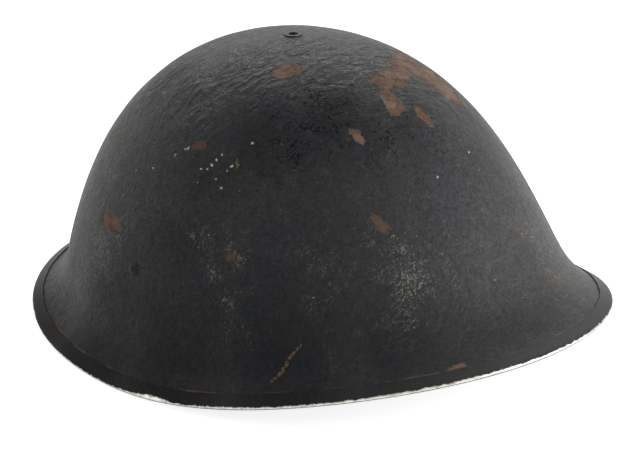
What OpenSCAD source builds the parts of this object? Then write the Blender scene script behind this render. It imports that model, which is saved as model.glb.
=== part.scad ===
// A deep steel helmet of the wide-necked pattern, with its folded rim strip,
// two riveted strap lugs, two-piece chin strap and suspended liner.
// X runs across the head, with the wearer's left at plus X. Y runs from the
// front to the neck guard. Z is up, and zero is the lowest point of the rim.

/* [Shell] */
// Height from the side edge of the shell up to the crown
shell_h = 136.3; // [128:0.1:146]
// From the crown axis to the front edge
front_reach = 142.5; // [136:0.5:150]
// From the crown axis to the edge of the neck guard
rear_reach = 162.5; // [156:0.5:170]
// From the crown axis to the edge at each side
half_width = 125.5; // [121:0.5:131]
// How much higher the edge is at the front than at the sides
front_rise = 4.5; // [2:0.5:8]
// How much higher the edge is at the neck guard than at the sides
rear_rise = 28; // [22:0.5:33]
// How far the edge's middle lies behind the crown
set_back = 5; // [0:0.5:8]
// Thickness of the steel
shell_t = 1.2; // [0.9:0.1:1.5]
// Reach of the front wall where the dome turns into the flare
front_wall_r = 114; // [110:0.5:118]
// Reach of the rear wall where the dome turns into the flare
rear_wall_r = 122; // [118:0.5:127]
// Reach of the side walls where the dome turns into the flare
side_wall_r = 112.5; // [110:0.5:115]
// Height of that turn above the front edge
front_turn_h = 31; // [27:0.5:35]
// Height of that turn above the neck guard's edge
rear_turn_h = 34; // [30:0.5:38]
// Height of that turn above the side edge
side_turn_h = 33.5; // [30:0.5:37]
// Steepness of the front wall at the turn, in degrees
front_wall_deg = 75.5; // [70:0.5:80]
// Steepness of the rear wall at the turn, in degrees
rear_wall_deg = 57; // [53:0.5:63]
// Steepness of the side walls at the turn, in degrees
side_wall_deg = 75; // [71:0.5:79]
// Steepness of the flare at the front edge, in degrees
front_edge_deg = 24; // [18:0.5:32]
// Steepness of the flare at the neck guard's edge, in degrees
rear_edge_deg = 18; // [12:0.5:26]
// Steepness of the flare at the side edges, in degrees
side_edge_deg = 35; // [28:0.5:42]
// Breadth of the crown: share of the wall's reach over which it stays flat
crown_breadth = 0.55; // [0.5:0.01:0.6]
// Fullness of the shoulder: share of the dome's height that the wall holds
shoulder_fullness = 0.61; // [0.55:0.01:0.66]
// Sharpness of the flare's turn
flare_pull = 0.44; // [0.36:0.01:0.5]

/* [Rim strip] */
// Width of each leg of the folded strip
strip_w = 6; // [5:0.1:8]
// Thickness of the strip
strip_t = 0.5; // [0.4:0.05:0.7]
// Gap of the strip's butt joint, at the right side
strip_joint = 0.4; // [0.2:0.1:1]

/* [Strap lugs] */
// Height of the rivets above the side edge
rivet_h = 50.3; // [46:0.1:56]
// Diameter of the rivet's domed head
rivet_head_d = 6.4; // [5.8:0.1:8]
// Height of the rivet's domed head
rivet_head_h = 1.8; // [1.2:0.1:2]
// Diameter of the rivet's shank
rivet_d = 4.2; // [3.4:0.1:5]
// Width of the folded lug
lug_w = 14; // [12:0.5:16]
// Thickness of the lug's plate
lug_t = 0.9; // [0.7:0.1:1.1]
// From the rivet down to the eye that holds the wire loop
lug_drop = 10; // [9:0.5:12]
// Diameter of the loop's wire
wire_d = 2.6; // [2.2:0.1:3]
// Width of the loop between the middles of its wires
loop_w = 25; // [23.5:0.5:28]
// Height of the loop between the middles of its wires
loop_h = 16; // [14.5:0.5:19]
// Radius of the loop's corners, at the middle of the wire
loop_corner_r = 3.5; // [3:0.1:4]
// Turn of the put-away lugs from hanging, towards the front, in degrees
stow_deg = 72; // [68:0.5:75]
// Tilt of the put-away loops away from the wall, in degrees
loop_tilt_deg = 20; // [18:0.5:25]

/* [Chin strap] */
// Width of the webbing
web_w = 19; // [16:0.5:20]
// Thickness of the webbing
web_t = 1.8; // [1.4:0.1:2.2]
// Length of the webbing folded back round a wire
fold_back = 24; // [20:0.5:28]
// Room for the web between the put-away strap and the front wall
wall_room = 4; // [3:0.5:8]
// Where each put-away strap's last fold starts, in degrees from the side round to the front
fold_deg = 68; // [60:1:69]
// Height of the put-away strap's lower edge above the ground
ground_room = 1; // [0.6:0.1:2]
// Diameter of the buckle's wire
buckle_wire_d = 2.4; // [2:0.1:2.8]
// Length of the buckle between the middles of its end wires
buckle_l = 16; // [14:0.5:18]
// Length of the metal tip of the plain strap
tip_l = 9; // [7:0.5:12]

/* [Liner] */
// Gap between the fibre headband and the side walls, at the walls' turn
band_side_gap = 32.5; // [29:0.5:36]
// Gap between the headband's ends and the front and rear walls, at their turn
band_end_gap = 18; // [16:0.5:22]
// How far the headband is set back from the middle between those walls
band_set_back = 5; // [2:0.5:7]
// Height of the headband's lower edge above the ground
band_z = 32; // [29:0.5:36]
// Height of the headband
band_h = 28; // [24:0.5:32]
// Thickness of the fibre headband and crown straps
fibre_t = 1.6; // [1.2:0.1:2]
// Width of the fibre crown straps
fibre_w = 22; // [18:0.5:26]
// Thickness of the oilcloth sweatband
sweat_t = 2; // [1.4:0.1:2.4]
// Depth of the sweatband's fold round the outside of the headband
sweat_fold = 7; // [4:0.5:9]
// Thickness of the rubber crown pad
pad_t = 10; // [7:0.5:12]
// Half the span of the crown pad's arms
pad_reach = 39; // [30:1:42]
// Number of rubber buffers round the headband
buffers = 8; // [4:4:8]
// Thickness of each rubber buffer
buffer_t = 8; // [6:0.5:9]
// Length of each rubber buffer
buffer_l = 30; // [22:1:34]
// Height of each rubber buffer
buffer_h = 17; // [14:0.5:18]
// Number of oilcloth tongues over the head
tongues = 6; // [5:1:8]
// Thickness of the oilcloth
cloth_t = 1; // [0.8:0.1:1.4]
// From the crown down to the lace ring
lace_drop = 29; // [28:0.5:34]
// Radius of the lace ring
lace_r = 24; // [18:0.5:30]
// Diameter of the lace
lace_d = 2.6; // [2:0.1:3.2]

/* [Crown fitting] */
// Diameter of the crown bush's outer flange
bush_flange_d = 9.4; // [8.8:0.1:10.4]
// Thickness of the crown bush's outer flange
bush_flange_t = 0.5; // [0.4:0.05:0.9]
// Thickness of the bush's collar inside the crown
bush_collar_t = 2; // [1.6:0.1:2.6]
// Outside diameter of the bush's tube
bush_d = 6.4; // [6.2:0.1:7]
// Diameter of the liner screw
screw_d = 4.7; // [4.2:0.1:5]
// How far below the flange the screw's end stays
screw_recess = 1.6; // [1:0.1:2]
// Diameter of the liner screw's head
screw_head_d = 10; // [8:0.5:12]
// Thickness of the liner screw's head
screw_head_h = 2.4; // [1.8:0.1:3]
// Diameter of the washer under the screw's head
washer_d = 18; // [14:0.5:20]
// Thickness of that washer
washer_t = 1.2; // [0.8:0.1:1.6]

/* [Hidden] */

$fn = 48;
// Steps round the shell and up its dome and its flare
around = 64;
dome_steps = 15;
flare_steps = 4;
// Clearance of fixed pieces on each other, and of a pin in its bore
seat = 0.1;
run = 0.05;
// Clearance of soft pieces
soft = 0.3;
// Gap of the flat lug at its rivet, which its corners need inside the curved wall
lug_gap = 1.3;
// Length of the cylinders that cut bores, which run past both faces
cut_l = 30;
// The hole left in the middle of the shell's mesh, which the crown bore widens
mesh_hole_r = 1.5;

// Maths shared by all the pieces
function bez(p, t) = let (u = 1 - t)
    p[0]*u^3 + p[1]*3*u*u*t + p[2]*3*u*t*t + p[3]*t^3;
function unit(v) = v/norm(v);
function rx(v, a) = [v.x, v.y*cos(a) - v.z*sin(a), v.y*sin(a) + v.z*cos(a)];
function ry(v, a) = [v.x*cos(a) + v.z*sin(a), v.y, v.z*cos(a) - v.x*sin(a)];
function flat(lists) = [for (l = lists) each l];
function reverse(l) = [for (i = [len(l) - 1 : -1 : 0]) l[i]];

// A value that differs at the front, sides and rear, blended round the shell
function around_value(a, front, side, rear) =
    side*cos(a)^2 + (sin(a) < 0 ? front : rear)*sin(a)^2;
// The radius of an oval made of two half ellipses
function oval(a, front, side, rear) =
    1/sqrt((cos(a)/side)^2 + (sin(a)/(sin(a) < 0 ? front : rear))^2);

// The shell's outer face in the upright plane at azimuth a, as radius and height.
// s runs from 0 at the crown to 1 at the turn and 2 at the edge.
function edge_rz(a) = [oval(a, front_reach, half_width, rear_reach),
    around_value(a, front_rise, 0, rear_rise)];
function turn_rz(a) = [oval(a, front_wall_r, side_wall_r, rear_wall_r),
    edge_rz(a)[1] + around_value(a, front_turn_h, side_turn_h, rear_turn_h)];
function dome_curve(a) = let (turn = turn_rz(a),
    steep = around_value(a, front_wall_deg, side_wall_deg, rear_wall_deg),
    hold = (shell_h - turn[1])*shoulder_fullness)
    [[0, shell_h], [turn[0]*crown_breadth, shell_h],
        turn + hold*[-cos(steep), sin(steep)], turn];
function flare_curve(a) = let (turn = turn_rz(a), edge = edge_rz(a),
    steep = around_value(a, front_wall_deg, side_wall_deg, rear_wall_deg),
    flat_deg = around_value(a, front_edge_deg, side_edge_deg, rear_edge_deg),
    pull = norm(edge - turn)*flare_pull)
    [turn, turn + pull*[cos(steep), -sin(steep)],
        edge + pull*[-cos(flat_deg), sin(flat_deg)], edge];
function skin_rz(a, s) = s <= 1 ? bez(dome_curve(a), s) : bez(flare_curve(a), s - 1);
function skin_tangent(a, s) = let (h = 0.002)
    unit(s >= 1 + h ? skin_rz(a, s) - skin_rz(a, s - h) : skin_rz(a, s + h) - skin_rz(a, s));
function skin_normal(a, s) = let (g = skin_tangent(a, s)) [-g[1], g[0]];
function lean(z) = set_back*(1 - z/shell_h);
function stand(a, p) = [p[0]*cos(a), p[0]*sin(a) + lean(p[1]) - middle_y, p[1] + lift];
function skin(a, s, out = 0) = stand(a, skin_rz(a, s) + out*skin_normal(a, s));
// The s at which the skin has height z, and the one at distance d from the edge
function s_at_height(a, z, low = 0, high = 2, n = 24) = let (m = (low + high)/2)
    n == 0 ? m : skin_rz(a, m)[1] > z ? s_at_height(a, z, m, high, n - 1)
    : s_at_height(a, z, low, m, n - 1);
function s_from_edge(a, d, low = 1, high = 2, n = 20) = let (m = (low + high)/2)
    n == 0 ? m : norm(skin_rz(a, m) - edge_rz(a)) > d ? s_from_edge(a, d, m, high, n - 1)
    : s_from_edge(a, d, low, m, n - 1);

// The strip's half-round fold, and how far it reaches past the shell's edge
fold_r = shell_t/2 + seat + strip_t;
function fold_point(a, r, deg) = skin_rz(a, 2) - shell_t/2*skin_normal(a, 2)
    + r*(sin(deg)*skin_normal(a, 2) + cos(deg)*skin_tangent(a, 2));
fold_degs = [90, 50, 20, -20, -50, -90];

// The origin lies under the middle of the helmet, at the lowest point of the rim
lift = -min([for (deg = fold_degs) fold_point(0, fold_r, deg)[1]]);
front_y = -max([for (deg = fold_degs) fold_point(270, fold_r, deg)[0]]) + lean(front_rise);
rear_y = max([for (deg = fold_degs) fold_point(90, fold_r, deg)[0]]) + lean(rear_rise);
middle_y = (front_y + rear_y)/2;
crown_y = -middle_y;
crown_z = shell_h + lift;

// The crown's height at a small radius, at the sides, where it falls fastest
function skin_z(r) = let (s = r/(3*side_wall_r*crown_breadth)) skin(0, s).z - seat/2;

// Joins closed sections of equal length into one solid
module loft(sections, ring = false) {
    m = len(sections);
    n = len(sections[0]);
    last = ring ? m : m - 1;
    sides = [for (i = [0 : last - 1], j = [0 : n - 1])
        let (p = i*n + j, q = i*n + (j + 1)%n, u = (i + 1)%m*n + j, v = (i + 1)%m*n + (j + 1)%n)
        each [[p, v, q], [p, u, v]]];
    ends = ring ? [] : [[for (j = [0 : n - 1]) j], [for (j = [n - 1 : -1 : 0]) (m - 1)*n + j]];
    polyhedron(points = flat(sections), faces = concat(sides, ends), convexity = 8);
}

// The shell: one upright section, from the crown to the edge and back inside
dome_stations = [for (i = [0 : dome_steps])
    max(i/dome_steps, mesh_hole_r/(3*side_wall_r*crown_breadth))];
function flare_stations(a) = let (s0 = s_from_edge(a, strip_w))
    concat([for (i = [1 : flare_steps]) 1 + (s0 - 1)*i/flare_steps], [(s0 + 2)/2, 2]);
function shell_section(a) = let (stations = concat(dome_stations, flare_stations(a)))
    concat([for (s = stations) skin(a, s)], [for (s = reverse(stations)) skin(a, s, -shell_t)]);

module shell() {
    color("dimgray") difference() {
        loft([for (i = [0 : around - 1]) shell_section(i*360/around)], ring = true);
        translate([0, crown_y, 0]) cylinder(d = bush_d + 2*run, h = 2*crown_z);
        for (side = [0, 1]) at_rivet(side)
            rotate([0, 90, 0]) cylinder(d = rivet_d + 2*run, h = cut_l, center = true);
    }
}

// The rim strip: a U folded round the edge, butted at the right side
function strip_section(a) = let (s0 = s_from_edge(a, strip_w), legs = [s0, (s0 + 2)/2],
    out = seat + strip_t)
    concat([for (s = legs) skin(a, s, out)],
        [for (deg = fold_degs) stand(a, fold_point(a, fold_r, deg))],
        [for (s = reverse(legs)) skin(a, s, -shell_t - out)],
        [for (s = legs) skin(a, s, -shell_t - seat)],
        [for (deg = reverse(fold_degs)) stand(a, fold_point(a, fold_r - strip_t, deg))],
        [for (s = reverse(legs)) skin(a, s, seat)]);
joint_deg = strip_joint/half_width*180/PI;

module rim_strip() {
    color("silver") loft([for (i = [0 : around])
        strip_section(180 + (i == 0 ? joint_deg/2 : i == around ? 360 - joint_deg/2 : i*360/around))]);
}

// The rivet's seat on the left wall, and the wall's lean there
rivet_s = s_at_height(0, rivet_h);
rivet_at = skin(0, rivet_s);
wall_deg = atan2(skin_normal(0, rivet_s)[1], skin_normal(0, rivet_s)[0]);

// Places a piece at a side's rivet, with X out of the wall and Z up it. The
// right side mirrors the left one, so both straps point forward.
module at_rivet(side) {
    mirror([side, 0, 0]) translate(rivet_at) rotate([0, -wall_deg, 0]) children();
}

lug_face = -shell_t - lug_gap;
eye_r = wire_d/2 + run;
eye_x = lug_face - lug_t - eye_r;
rivet_tail_t = 1.1;
rivet_tail_d = rivet_head_d - 0.6;

module rivet(side) {
    tail = lug_face - 2*lug_t - run;
    cap_r = (rivet_head_d^2/4 + rivet_head_h^2)/(2*rivet_head_h);
    color("darkslategray") at_rivet(side) rotate([0, 90, 0]) {
        translate([0, 0, run]) intersection() {
            translate([0, 0, rivet_head_h - cap_r]) sphere(r = cap_r);
            cylinder(d = rivet_head_d, h = rivet_head_h + 1);
        }
        translate([0, 0, tail - rivet_tail_t/2])
            cylinder(d = rivet_d, h = rivet_tail_t/2 - tail + 2*run);
        translate([0, 0, tail - rivet_tail_t]) cylinder(d = rivet_tail_d, h = rivet_tail_t);
    }
}

// The folded lug: an eye round the loop's wire, and two legs on the rivet
module lug_outline() {
    difference() {
        union() {
            translate([eye_x, -lug_drop]) circle(r = eye_r + lug_t);
            translate([lug_face - 2*lug_t, -lug_drop]) square([2*lug_t, lug_drop + lug_w/2]);
        }
        translate([eye_x, -lug_drop]) circle(r = eye_r);
    }
}
module lug(side) {
    color("slategray") at_rivet(side) rotate([-stow_deg, 0, 0]) difference() {
        intersection() {
            rotate([90, 0, 0]) linear_extrude(lug_w, center = true) lug_outline();
            rotate([0, -90, 0]) linear_extrude(cut_l, center = true) union() {
                circle(d = lug_w);
                translate([-3*lug_w, -lug_w/2]) square([3*lug_w, lug_w]);
            }
        }
        rotate([0, 90, 0]) cylinder(d = rivet_d + 2*run, h = cut_l, center = true);
    }
}

// A frame of round wire in the YZ plane, hanging from its top wire
module wire_frame(w, h, d, corner) {
    for (end = [0, 1]) translate([0, 0, -end*h])
        rotate([90, 0, 0]) cylinder(d = d, h = w - 2*corner, center = true);
    for (end = [-1, 1]) translate([0, end*w/2, -h/2])
        cylinder(d = d, h = h - 2*corner, center = true);
    for (q = [0 : 3]) translate([0, (q == 0 || q == 3 ? 1 : -1)*(w/2 - corner),
        q < 2 ? -corner : corner - h])
        rotate([q*90, 0, 0]) rotate([90, 0, 90]) rotate_extrude(angle = 90)
            translate([corner, 0]) circle(d = d);
}

module at_loop(side) {
    at_rivet(side) rotate([-stow_deg, 0, 0]) translate([eye_x, 0, -lug_drop])
        rotate([0, loop_tilt_deg, 0]) children();
}
module strap_loop(side) {
    color("gray") at_loop(side) wire_frame(loop_w, loop_h, wire_d, loop_corner_r);
}

// The strap's route starts at the loop's lower wire. A point there has the strap
// running down minus Z, and its width along Y.
function from_loop(p) = rivet_at + ry(rx([eye_x, 0, -lug_drop]
    + ry(p - [0, 0, loop_h], loop_tilt_deg), -stow_deg), -wall_deg);
function turn_from_loop(v) = ry(rx(ry(v, loop_tilt_deg), -stow_deg), -wall_deg);

// A fold of webbing round a wire: up one side of it, over the top and down the other
fold_taper = 5;
web_turns = [-20, 10, 40, 65];
function fold_half(r, side) = concat(
    [[side*run_x, -fold_back], [side*run_x, -fold_back/2], [side*run_x, -r - fold_taper]],
    [for (deg = web_turns) r*[side*cos(deg), sin(deg)]]);
function fold_path(wire) = let (r = wire/2 + soft + web_t/2)
    concat(fold_half(r, -1), [[0, r]], reverse(fold_half(r, 1)));

// The put-away strap runs round inside the front wall, on its edge, and slopes
// down from the loop to the ground. Its last fold is straight.
strap_z = web_w/2 + ground_room + buckle_wire_d;
run_x = web_t/2 + seat/2;
middle_deg = 88;
route_start = from_loop([run_x, 0, -fold_back]);
route_dir = turn_from_loop([0, 0, -1]);
loop_across = turn_from_loop([0, 1, 0]);
start_deg = atan2(route_start.y - crown_y, route_start.x);
route_spans = 4;
span_steps = 4;
function beside_wall(a, z) = let (s = s_at_height(a, z + web_w/2 - lift),
    rz = skin_rz(a, s) - shell_t*skin_normal(a, s),
    p = stand(a, rz - [wall_room + web_t/2, 0])) [p.x, p.y, z];
function along_wall(k) = beside_wall(start_deg*(1 - k) - fold_deg*k,
    route_start.z*(1 - k) + strap_z*k);
fold_start = along_wall(1);
tip_dir = unit(beside_wall(-middle_deg, strap_z) - fold_start);
tip_at = fold_start + fold_back*tip_dir;
tip_deg = atan2(tip_dir.y, tip_dir.x);
knots = concat([route_start - 2*fold_back*route_dir, route_start],
    [for (i = [1 : route_spans]) along_wall(i/route_spans)], [tip_at]);
function through(p, i, t) = 0.5*(2*p[i] + (p[i + 1] - p[i - 1])*t
    + (2*p[i - 1] - 5*p[i] + 4*p[i + 1] - p[i + 2])*t^2
    + (3*p[i] - p[i - 1] - 3*p[i + 1] + p[i + 2])*t^3);

// A section of webbing at a point, from its direction and its width's direction
function web_section(at, along, across) = let (n = unit(cross(along, across)),
    w = unit(cross(n, along)))
    [for (c = [[-1, -1], [1, -1], [1, 1], [-1, 1]]) at + w*web_w/2*c[0] + n*web_t/2*c[1]];
function directions(pts) = [for (i = [0 : len(pts) - 1])
    unit(pts[min(i + 1, len(pts) - 1)] - pts[max(i - 1, 0)])];

module web_strap(folded) {
    start = [for (p = fold_path(wire_d)) from_loop([p[0], 0, p[1]])];
    way = [for (i = [1 : route_spans], j = [1 : span_steps]) through(knots, i, j/span_steps)];
    inward = [tip_dir.y, -tip_dir.x, 0];
    fold = [for (p = reverse(fold_path(buckle_wire_d)))
        tip_at + p[1]*tip_dir + (run_x - p[0])*inward];
    plain = [for (d = [fold_back/2, 0]) tip_at - d*tip_dir];
    pts = concat(start, way, folded ? [for (i = [1 : len(fold) - 1]) fold[i]] : plain);
    dirs = directions(pts);
    n0 = len(start);
    n1 = n0 + len(way);
    loft([for (i = [0 : len(pts) - 1]) let (k = min(max((i - n0 + 1)/(n1 - n0), 0), 1))
        web_section(pts[i], dirs[i], unit(loop_across*(1 - k) - [0, 0, k]))]);
}
module left_strap() {
    color("darkkhaki") web_strap(true);
}
module right_strap() {
    color("darkkhaki") mirror([1, 0, 0]) web_strap(false);
}

// Places a piece at the put-away strap's end, with minus Z along the strap, Y
// up and X towards the wall
module at_tip() {
    translate(tip_at) rotate([0, 0, tip_deg]) rotate([0, -90, 0]) rotate([0, 0, 90]) children();
}

// The buckle: a wire frame with a middle bar, held in the left strap's end
buckle_w = web_w + 1 + buckle_wire_d;
buckle_bar_d = buckle_wire_d - 0.3;
module strap_buckle() {
    color("darkgoldenrod") at_tip() translate([-run_x, 0, 0]) {
        wire_frame(buckle_w, buckle_l, buckle_wire_d, buckle_wire_d);
        translate([0, 0, -buckle_l/2]) rotate([90, 0, 0])
            cylinder(d = buckle_bar_d, h = buckle_w, center = true);
    }
}

// The metal tip, folded over the plain end of the right strap
tip_wall = 0.5;
tip_nose = 3;
module strap_tip() {
    h = web_w + 2*(seat + tip_wall);
    t = web_t + 2*(seat + tip_wall);
    round_d = 2*h;
    color("darkgoldenrod") mirror([1, 0, 0]) at_tip() difference() {
        rotate([0, 90, 0]) linear_extrude(t, center = true) intersection() {
            translate([tip_nose - round_d/2, 0]) circle(d = round_d);
            translate([-tip_l, -h/2]) square([tip_l + tip_nose, h]);
        }
        translate([-web_t/2 - seat, -web_w/2 - seat, -seat])
            cube([web_t + 2*seat, web_w + 2*seat, 2*tip_l]);
    }
}

// The headband's size and middle, and the fittings' heights under the crown
band_half_w = side_wall_r - band_side_gap;
band_half_l = (front_wall_r + rear_wall_r)/2 - band_end_gap;
band_back = (rear_wall_r - front_wall_r)/2 + band_set_back;
lace_z = crown_z - lace_drop;
collar_r = bush_flange_d/2 + 0.5;
collar_z = skin_z(collar_r) - shell_t - run;
band_y = crown_y + band_back;
band_top = band_z + band_h;
strap_bolt_z = collar_z - bush_collar_t - seat;
long_z = strap_bolt_z - fibre_t/2;
cross_z = long_z - fibre_t - seat;
washer_z = cross_z - fibre_t/2 - seat - washer_t;
head_z = washer_z - seat - screw_head_h;
rivet_r = 1.6;
head_r = 3.2;
head_t = 0.7;
head_room = head_t + 2*soft;
sweat_drop = 6;

module oval_plate(w, l) {
    polygon([for (i = [0 : around - 1]) [w*cos(i*360/around), l*sin(i*360/around)]]);
}
module oval_ring(out, t, h) {
    linear_extrude(h) difference() {
        oval_plate(band_half_w + out, band_half_l + out);
        oval_plate(band_half_w + out - t, band_half_l + out - t);
    }
}

// Where the buffers and the crown straps are riveted: a point on the band's
// outside and the direction straight out of it
buffer_degs = [for (q = [0 : 3], k = [1 : buffers/4]) q*90 + 90*k/(buffers/4 + 1)];
function band_point(a) = [band_half_w*cos(a), band_half_l*sin(a)];
function band_out_deg(a) = atan2(sin(a)/band_half_l, cos(a)/band_half_w);
module at_band(a, z) {
    translate([band_point(a).x, band_point(a).y + band_y, z])
        rotate([0, 0, band_out_deg(a)]) rotate([0, 90, 0]) children();
}
buffer_z = band_z - sweat_t + sweat_fold;
buffer_rivet_z = buffer_z + buffer_h/2;
strap_rivet_z = band_z + 0.6*band_h;
buffer_wall = 2;

// The crown straps meet the band at its ends and, as they cross in front of its
// middle, a little forward of its sides, where the band turns away from the strap
side_deg = -asin(band_back/band_half_l);
side_turn = abs(band_out_deg(side_deg));
strap_ends = [90, 270];
strap_sides = [side_deg, 180 - side_deg];
side_reach = (band_half_w*(1 - cos(side_deg)) + seat + fibre_t + head_r*sin(side_turn))/cos(side_turn);

module headband() {
    color("saddlebrown") difference() {
        translate([0, band_y, band_z]) oval_ring(0, fibre_t, band_h);
        for (a = buffer_degs) at_band(a, buffer_rivet_z)
            cylinder(r = rivet_r + run, h = cut_l, center = true);
        for (a = concat(strap_ends, strap_sides)) at_band(a, strap_rivet_z)
            cylinder(r = rivet_r + run, h = cut_l, center = true);
    }
}

// The sweatband lines the headband and folds up round its lower edge
module sweatband() {
    inside = -fibre_t - head_room;
    outside = soft + sweat_t;
    color("black") translate([0, band_y, 0]) {
        translate([0, 0, band_z - soft - sweat_t]) oval_ring(inside, sweat_t, band_h - sweat_drop);
        translate([0, 0, band_z - soft - sweat_t])
            oval_ring(outside, outside - inside + sweat_t/2, sweat_t);
        translate([0, 0, band_z - soft - sweat_t]) oval_ring(outside, sweat_t, sweat_fold);
    }
}

// One end of a crown strap: from its flat crossing down to the band's lower part
strap_steps = 12;
strap_pull = 0.46;
strap_shoulder = 32;
strap_foot_z = band_z + sweat_fold + 1.5;
function strap_half(reach, z) = concat([for (i = [0 : strap_steps])
    bez([[fibre_w/2 + 1.5, z], [reach*strap_pull, z], [reach, band_top + strap_shoulder],
        [reach, band_top]], i/strap_steps)], [[reach, strap_foot_z]]);
function strap_line(minus, plus, z) = concat([for (p = reverse(strap_half(minus, z))) [-p[0], p[1]]],
    strap_half(plus, z));
function beside(pts, d) = let (g = directions(pts))
    [for (i = [0 : len(pts) - 1]) pts[i] + d*[-g[i][1], g[i][0]]];
module strap_outline(pts, upper, lower) {
    polygon(concat(beside(pts, upper), reverse(beside(pts, lower))));
}
on_band = seat + fibre_t/2;
function long_line() = strap_line(band_half_l - band_back + on_band,
    band_half_l + band_back + on_band, long_z);
function cross_line() = strap_line(band_half_w + on_band, band_half_w + on_band, cross_z);
module long_way(w) {
    translate([0, crown_y, 0]) rotate([90, 0, 90]) linear_extrude(w, center = true) children();
}
module cross_way(w) {
    translate([0, crown_y, 0]) rotate([90, 0, 0]) linear_extrude(w, center = true) children();
}
module strap_holes(degs) {
    translate([0, crown_y, 0]) cylinder(d = screw_d + 2*run, h = 2*crown_z);
    for (a = degs) at_band(a, strap_rivet_z) cylinder(r = rivet_r + run, h = cut_l, center = true);
}
module long_crown_strap() {
    color("sienna") difference() {
        long_way(fibre_w) strap_outline(long_line(), fibre_t/2, -fibre_t/2);
        strap_holes(strap_ends);
    }
}
module cross_crown_strap() {
    color("sienna") difference() {
        cross_way(fibre_w) strap_outline(cross_line(), fibre_t/2, -fibre_t/2);
        strap_holes(strap_sides);
    }
}

// The sponge rubber pad under the crossing, in the shape of a cross
pad_edge = 1;
pad_w = fibre_w + 2*pad_edge;
module crown_pad() {
    under = -fibre_t/2 - soft;
    color("black") difference() {
        intersection() {
            union() {
                long_way(pad_w) strap_outline(long_line(), under - fibre_t - seat,
                    under - fibre_t - seat - pad_t);
                cross_way(pad_w) strap_outline(cross_line(), under, under - pad_t);
            }
            translate([0, crown_y, band_top]) cylinder(r = pad_reach, h = crown_z);
        }
        translate([0, crown_y, 0]) cylinder(d = washer_d + 2*pad_edge, h = 2*crown_z);
    }
}

// Hollow rubber buffers: short tubes flattened to a pill shape
module pill(l, t) {
    square([l - t, t], center = true);
    for (end = [-1, 1]) translate([end*(l - t)/2, 0]) circle(d = t);
}
module buffer(a) {
    difference() {
        translate([0, band_y, buffer_z]) translate(band_point(a)) rotate(band_out_deg(a) - 90)
            translate([0, buffer_t/2 + soft]) linear_extrude(buffer_h) difference() {
                pill(buffer_l, buffer_t);
                pill(buffer_l - 2*buffer_wall, buffer_t - 2*buffer_wall);
            }
        at_band(a, buffer_rivet_z) cylinder(r = rivet_r + run, h = buffer_t + 2*soft, center = true);
    }
}
module front_buffers() {
    color("black") for (a = buffer_degs) if (a > 180) buffer(a);
}
module rear_buffers() {
    color("black") for (a = buffer_degs) if (a < 180) buffer(a);
}

// A tubular rivet from a head inside the band to a head at the given reach
module band_rivet(reach) {
    translate([0, 0, -fibre_t - soft - head_t]) cylinder(r = head_r, h = head_t);
    translate([0, 0, -fibre_t - soft - head_t/2])
        cylinder(r = rivet_r, h = reach + fibre_t + soft + head_t);
    translate([0, 0, reach + run]) cylinder(r = head_r, h = head_t);
}
module buffer_rivets() {
    color("peru") for (a = buffer_degs) at_band(a, buffer_rivet_z) band_rivet(soft + buffer_wall);
}
module crown_strap_rivets() {
    color("peru") for (a = strap_ends) at_band(a, strap_rivet_z) band_rivet(seat + fibre_t);
    color("peru") for (a = strap_sides) at_band(a, strap_rivet_z) band_rivet(side_reach);
}

// The oilcloth tongues, which meet at the lace over the wearer's head. Each is cut
// from a dome turned about the middle of its own part of the oval.
tongue_lap = 5;
tongue_z = band_top - tongue_lap;
tongue_space = 6;
tongue_half = (360/tongues - tongue_space)/2;
tongue_rise = 26;
tongue_pull = 0.72;
tongue_steps = 6;
tongue_inset = fibre_t + 2*soft + cloth_t/2;
tongue_flat = 14;
eyelet_d = 4;
function tongue_foot(a) = [cos(a), sin(a)]/sqrt((cos(a)/(band_half_w - tongue_inset))^2
    + (sin(a)/(band_half_l - tongue_inset))^2);
function middle_of(p, q, r) = let (a = q - p, b = r - p, d = 2*(a.x*b.y - a.y*b.x))
    p + [b.y*(a*a) - a.y*(b*b), a.x*(b*b) - b.x*(a*a)]/d;

module tongue(mid) {
    c = middle_of(tongue_foot(mid - tongue_half), tongue_foot(mid), tongue_foot(mid + tongue_half));
    r = norm(tongue_foot(mid) - c);
    out = [cos(mid), sin(mid)];
    tip = lace_r - lace_d/2;
    tip_r = tip*sin(tongue_half)/(1 - sin(tongue_half));
    wide = (tip + tip_r)*cos(tongue_half);
    curve = [[r, tongue_z], [r, tongue_z + tongue_rise],
        [r - (1 - tongue_pull)*norm(tongue_foot(mid)), lace_z],
        [max(tip - c*out, tongue_flat), lace_z]];
    pts = concat([for (i = [0 : tongue_steps]) bez(curve, i/tongue_steps)], [[eyelet_d/4, lace_z]]);
    difference() {
        intersection() {
            translate(c) rotate_extrude()
                polygon(concat(beside(pts, cloth_t/2), reverse(beside(pts, -cloth_t/2))));
            rotate(mid) linear_extrude(2*crown_z) {
                translate([tip + tip_r, 0]) circle(r = tip_r);
                polygon([for (p = [[wide, -1], [2*band_half_l, -1], [2*band_half_l, 1], [wide, 1]])
                    p[0]*[cos(tongue_half), p[1]*sin(tongue_half)]]);
            }
        }
        translate(max(c*out, tip + 2*eyelet_d)*out) cylinder(d = eyelet_d, h = 2*crown_z);
    }
}
module tongues_cloth() {
    color("darkslategray") translate([0, band_y, 0])
        for (k = [0 : tongues - 1]) tongue((k + 0.5)*360/tongues);
}
module lace() {
    color("tan") translate([0, band_y, lace_z + cloth_t/2 + soft + lace_d/2])
        rotate_extrude() translate([lace_r, 0]) circle(d = lace_d);
}

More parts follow.
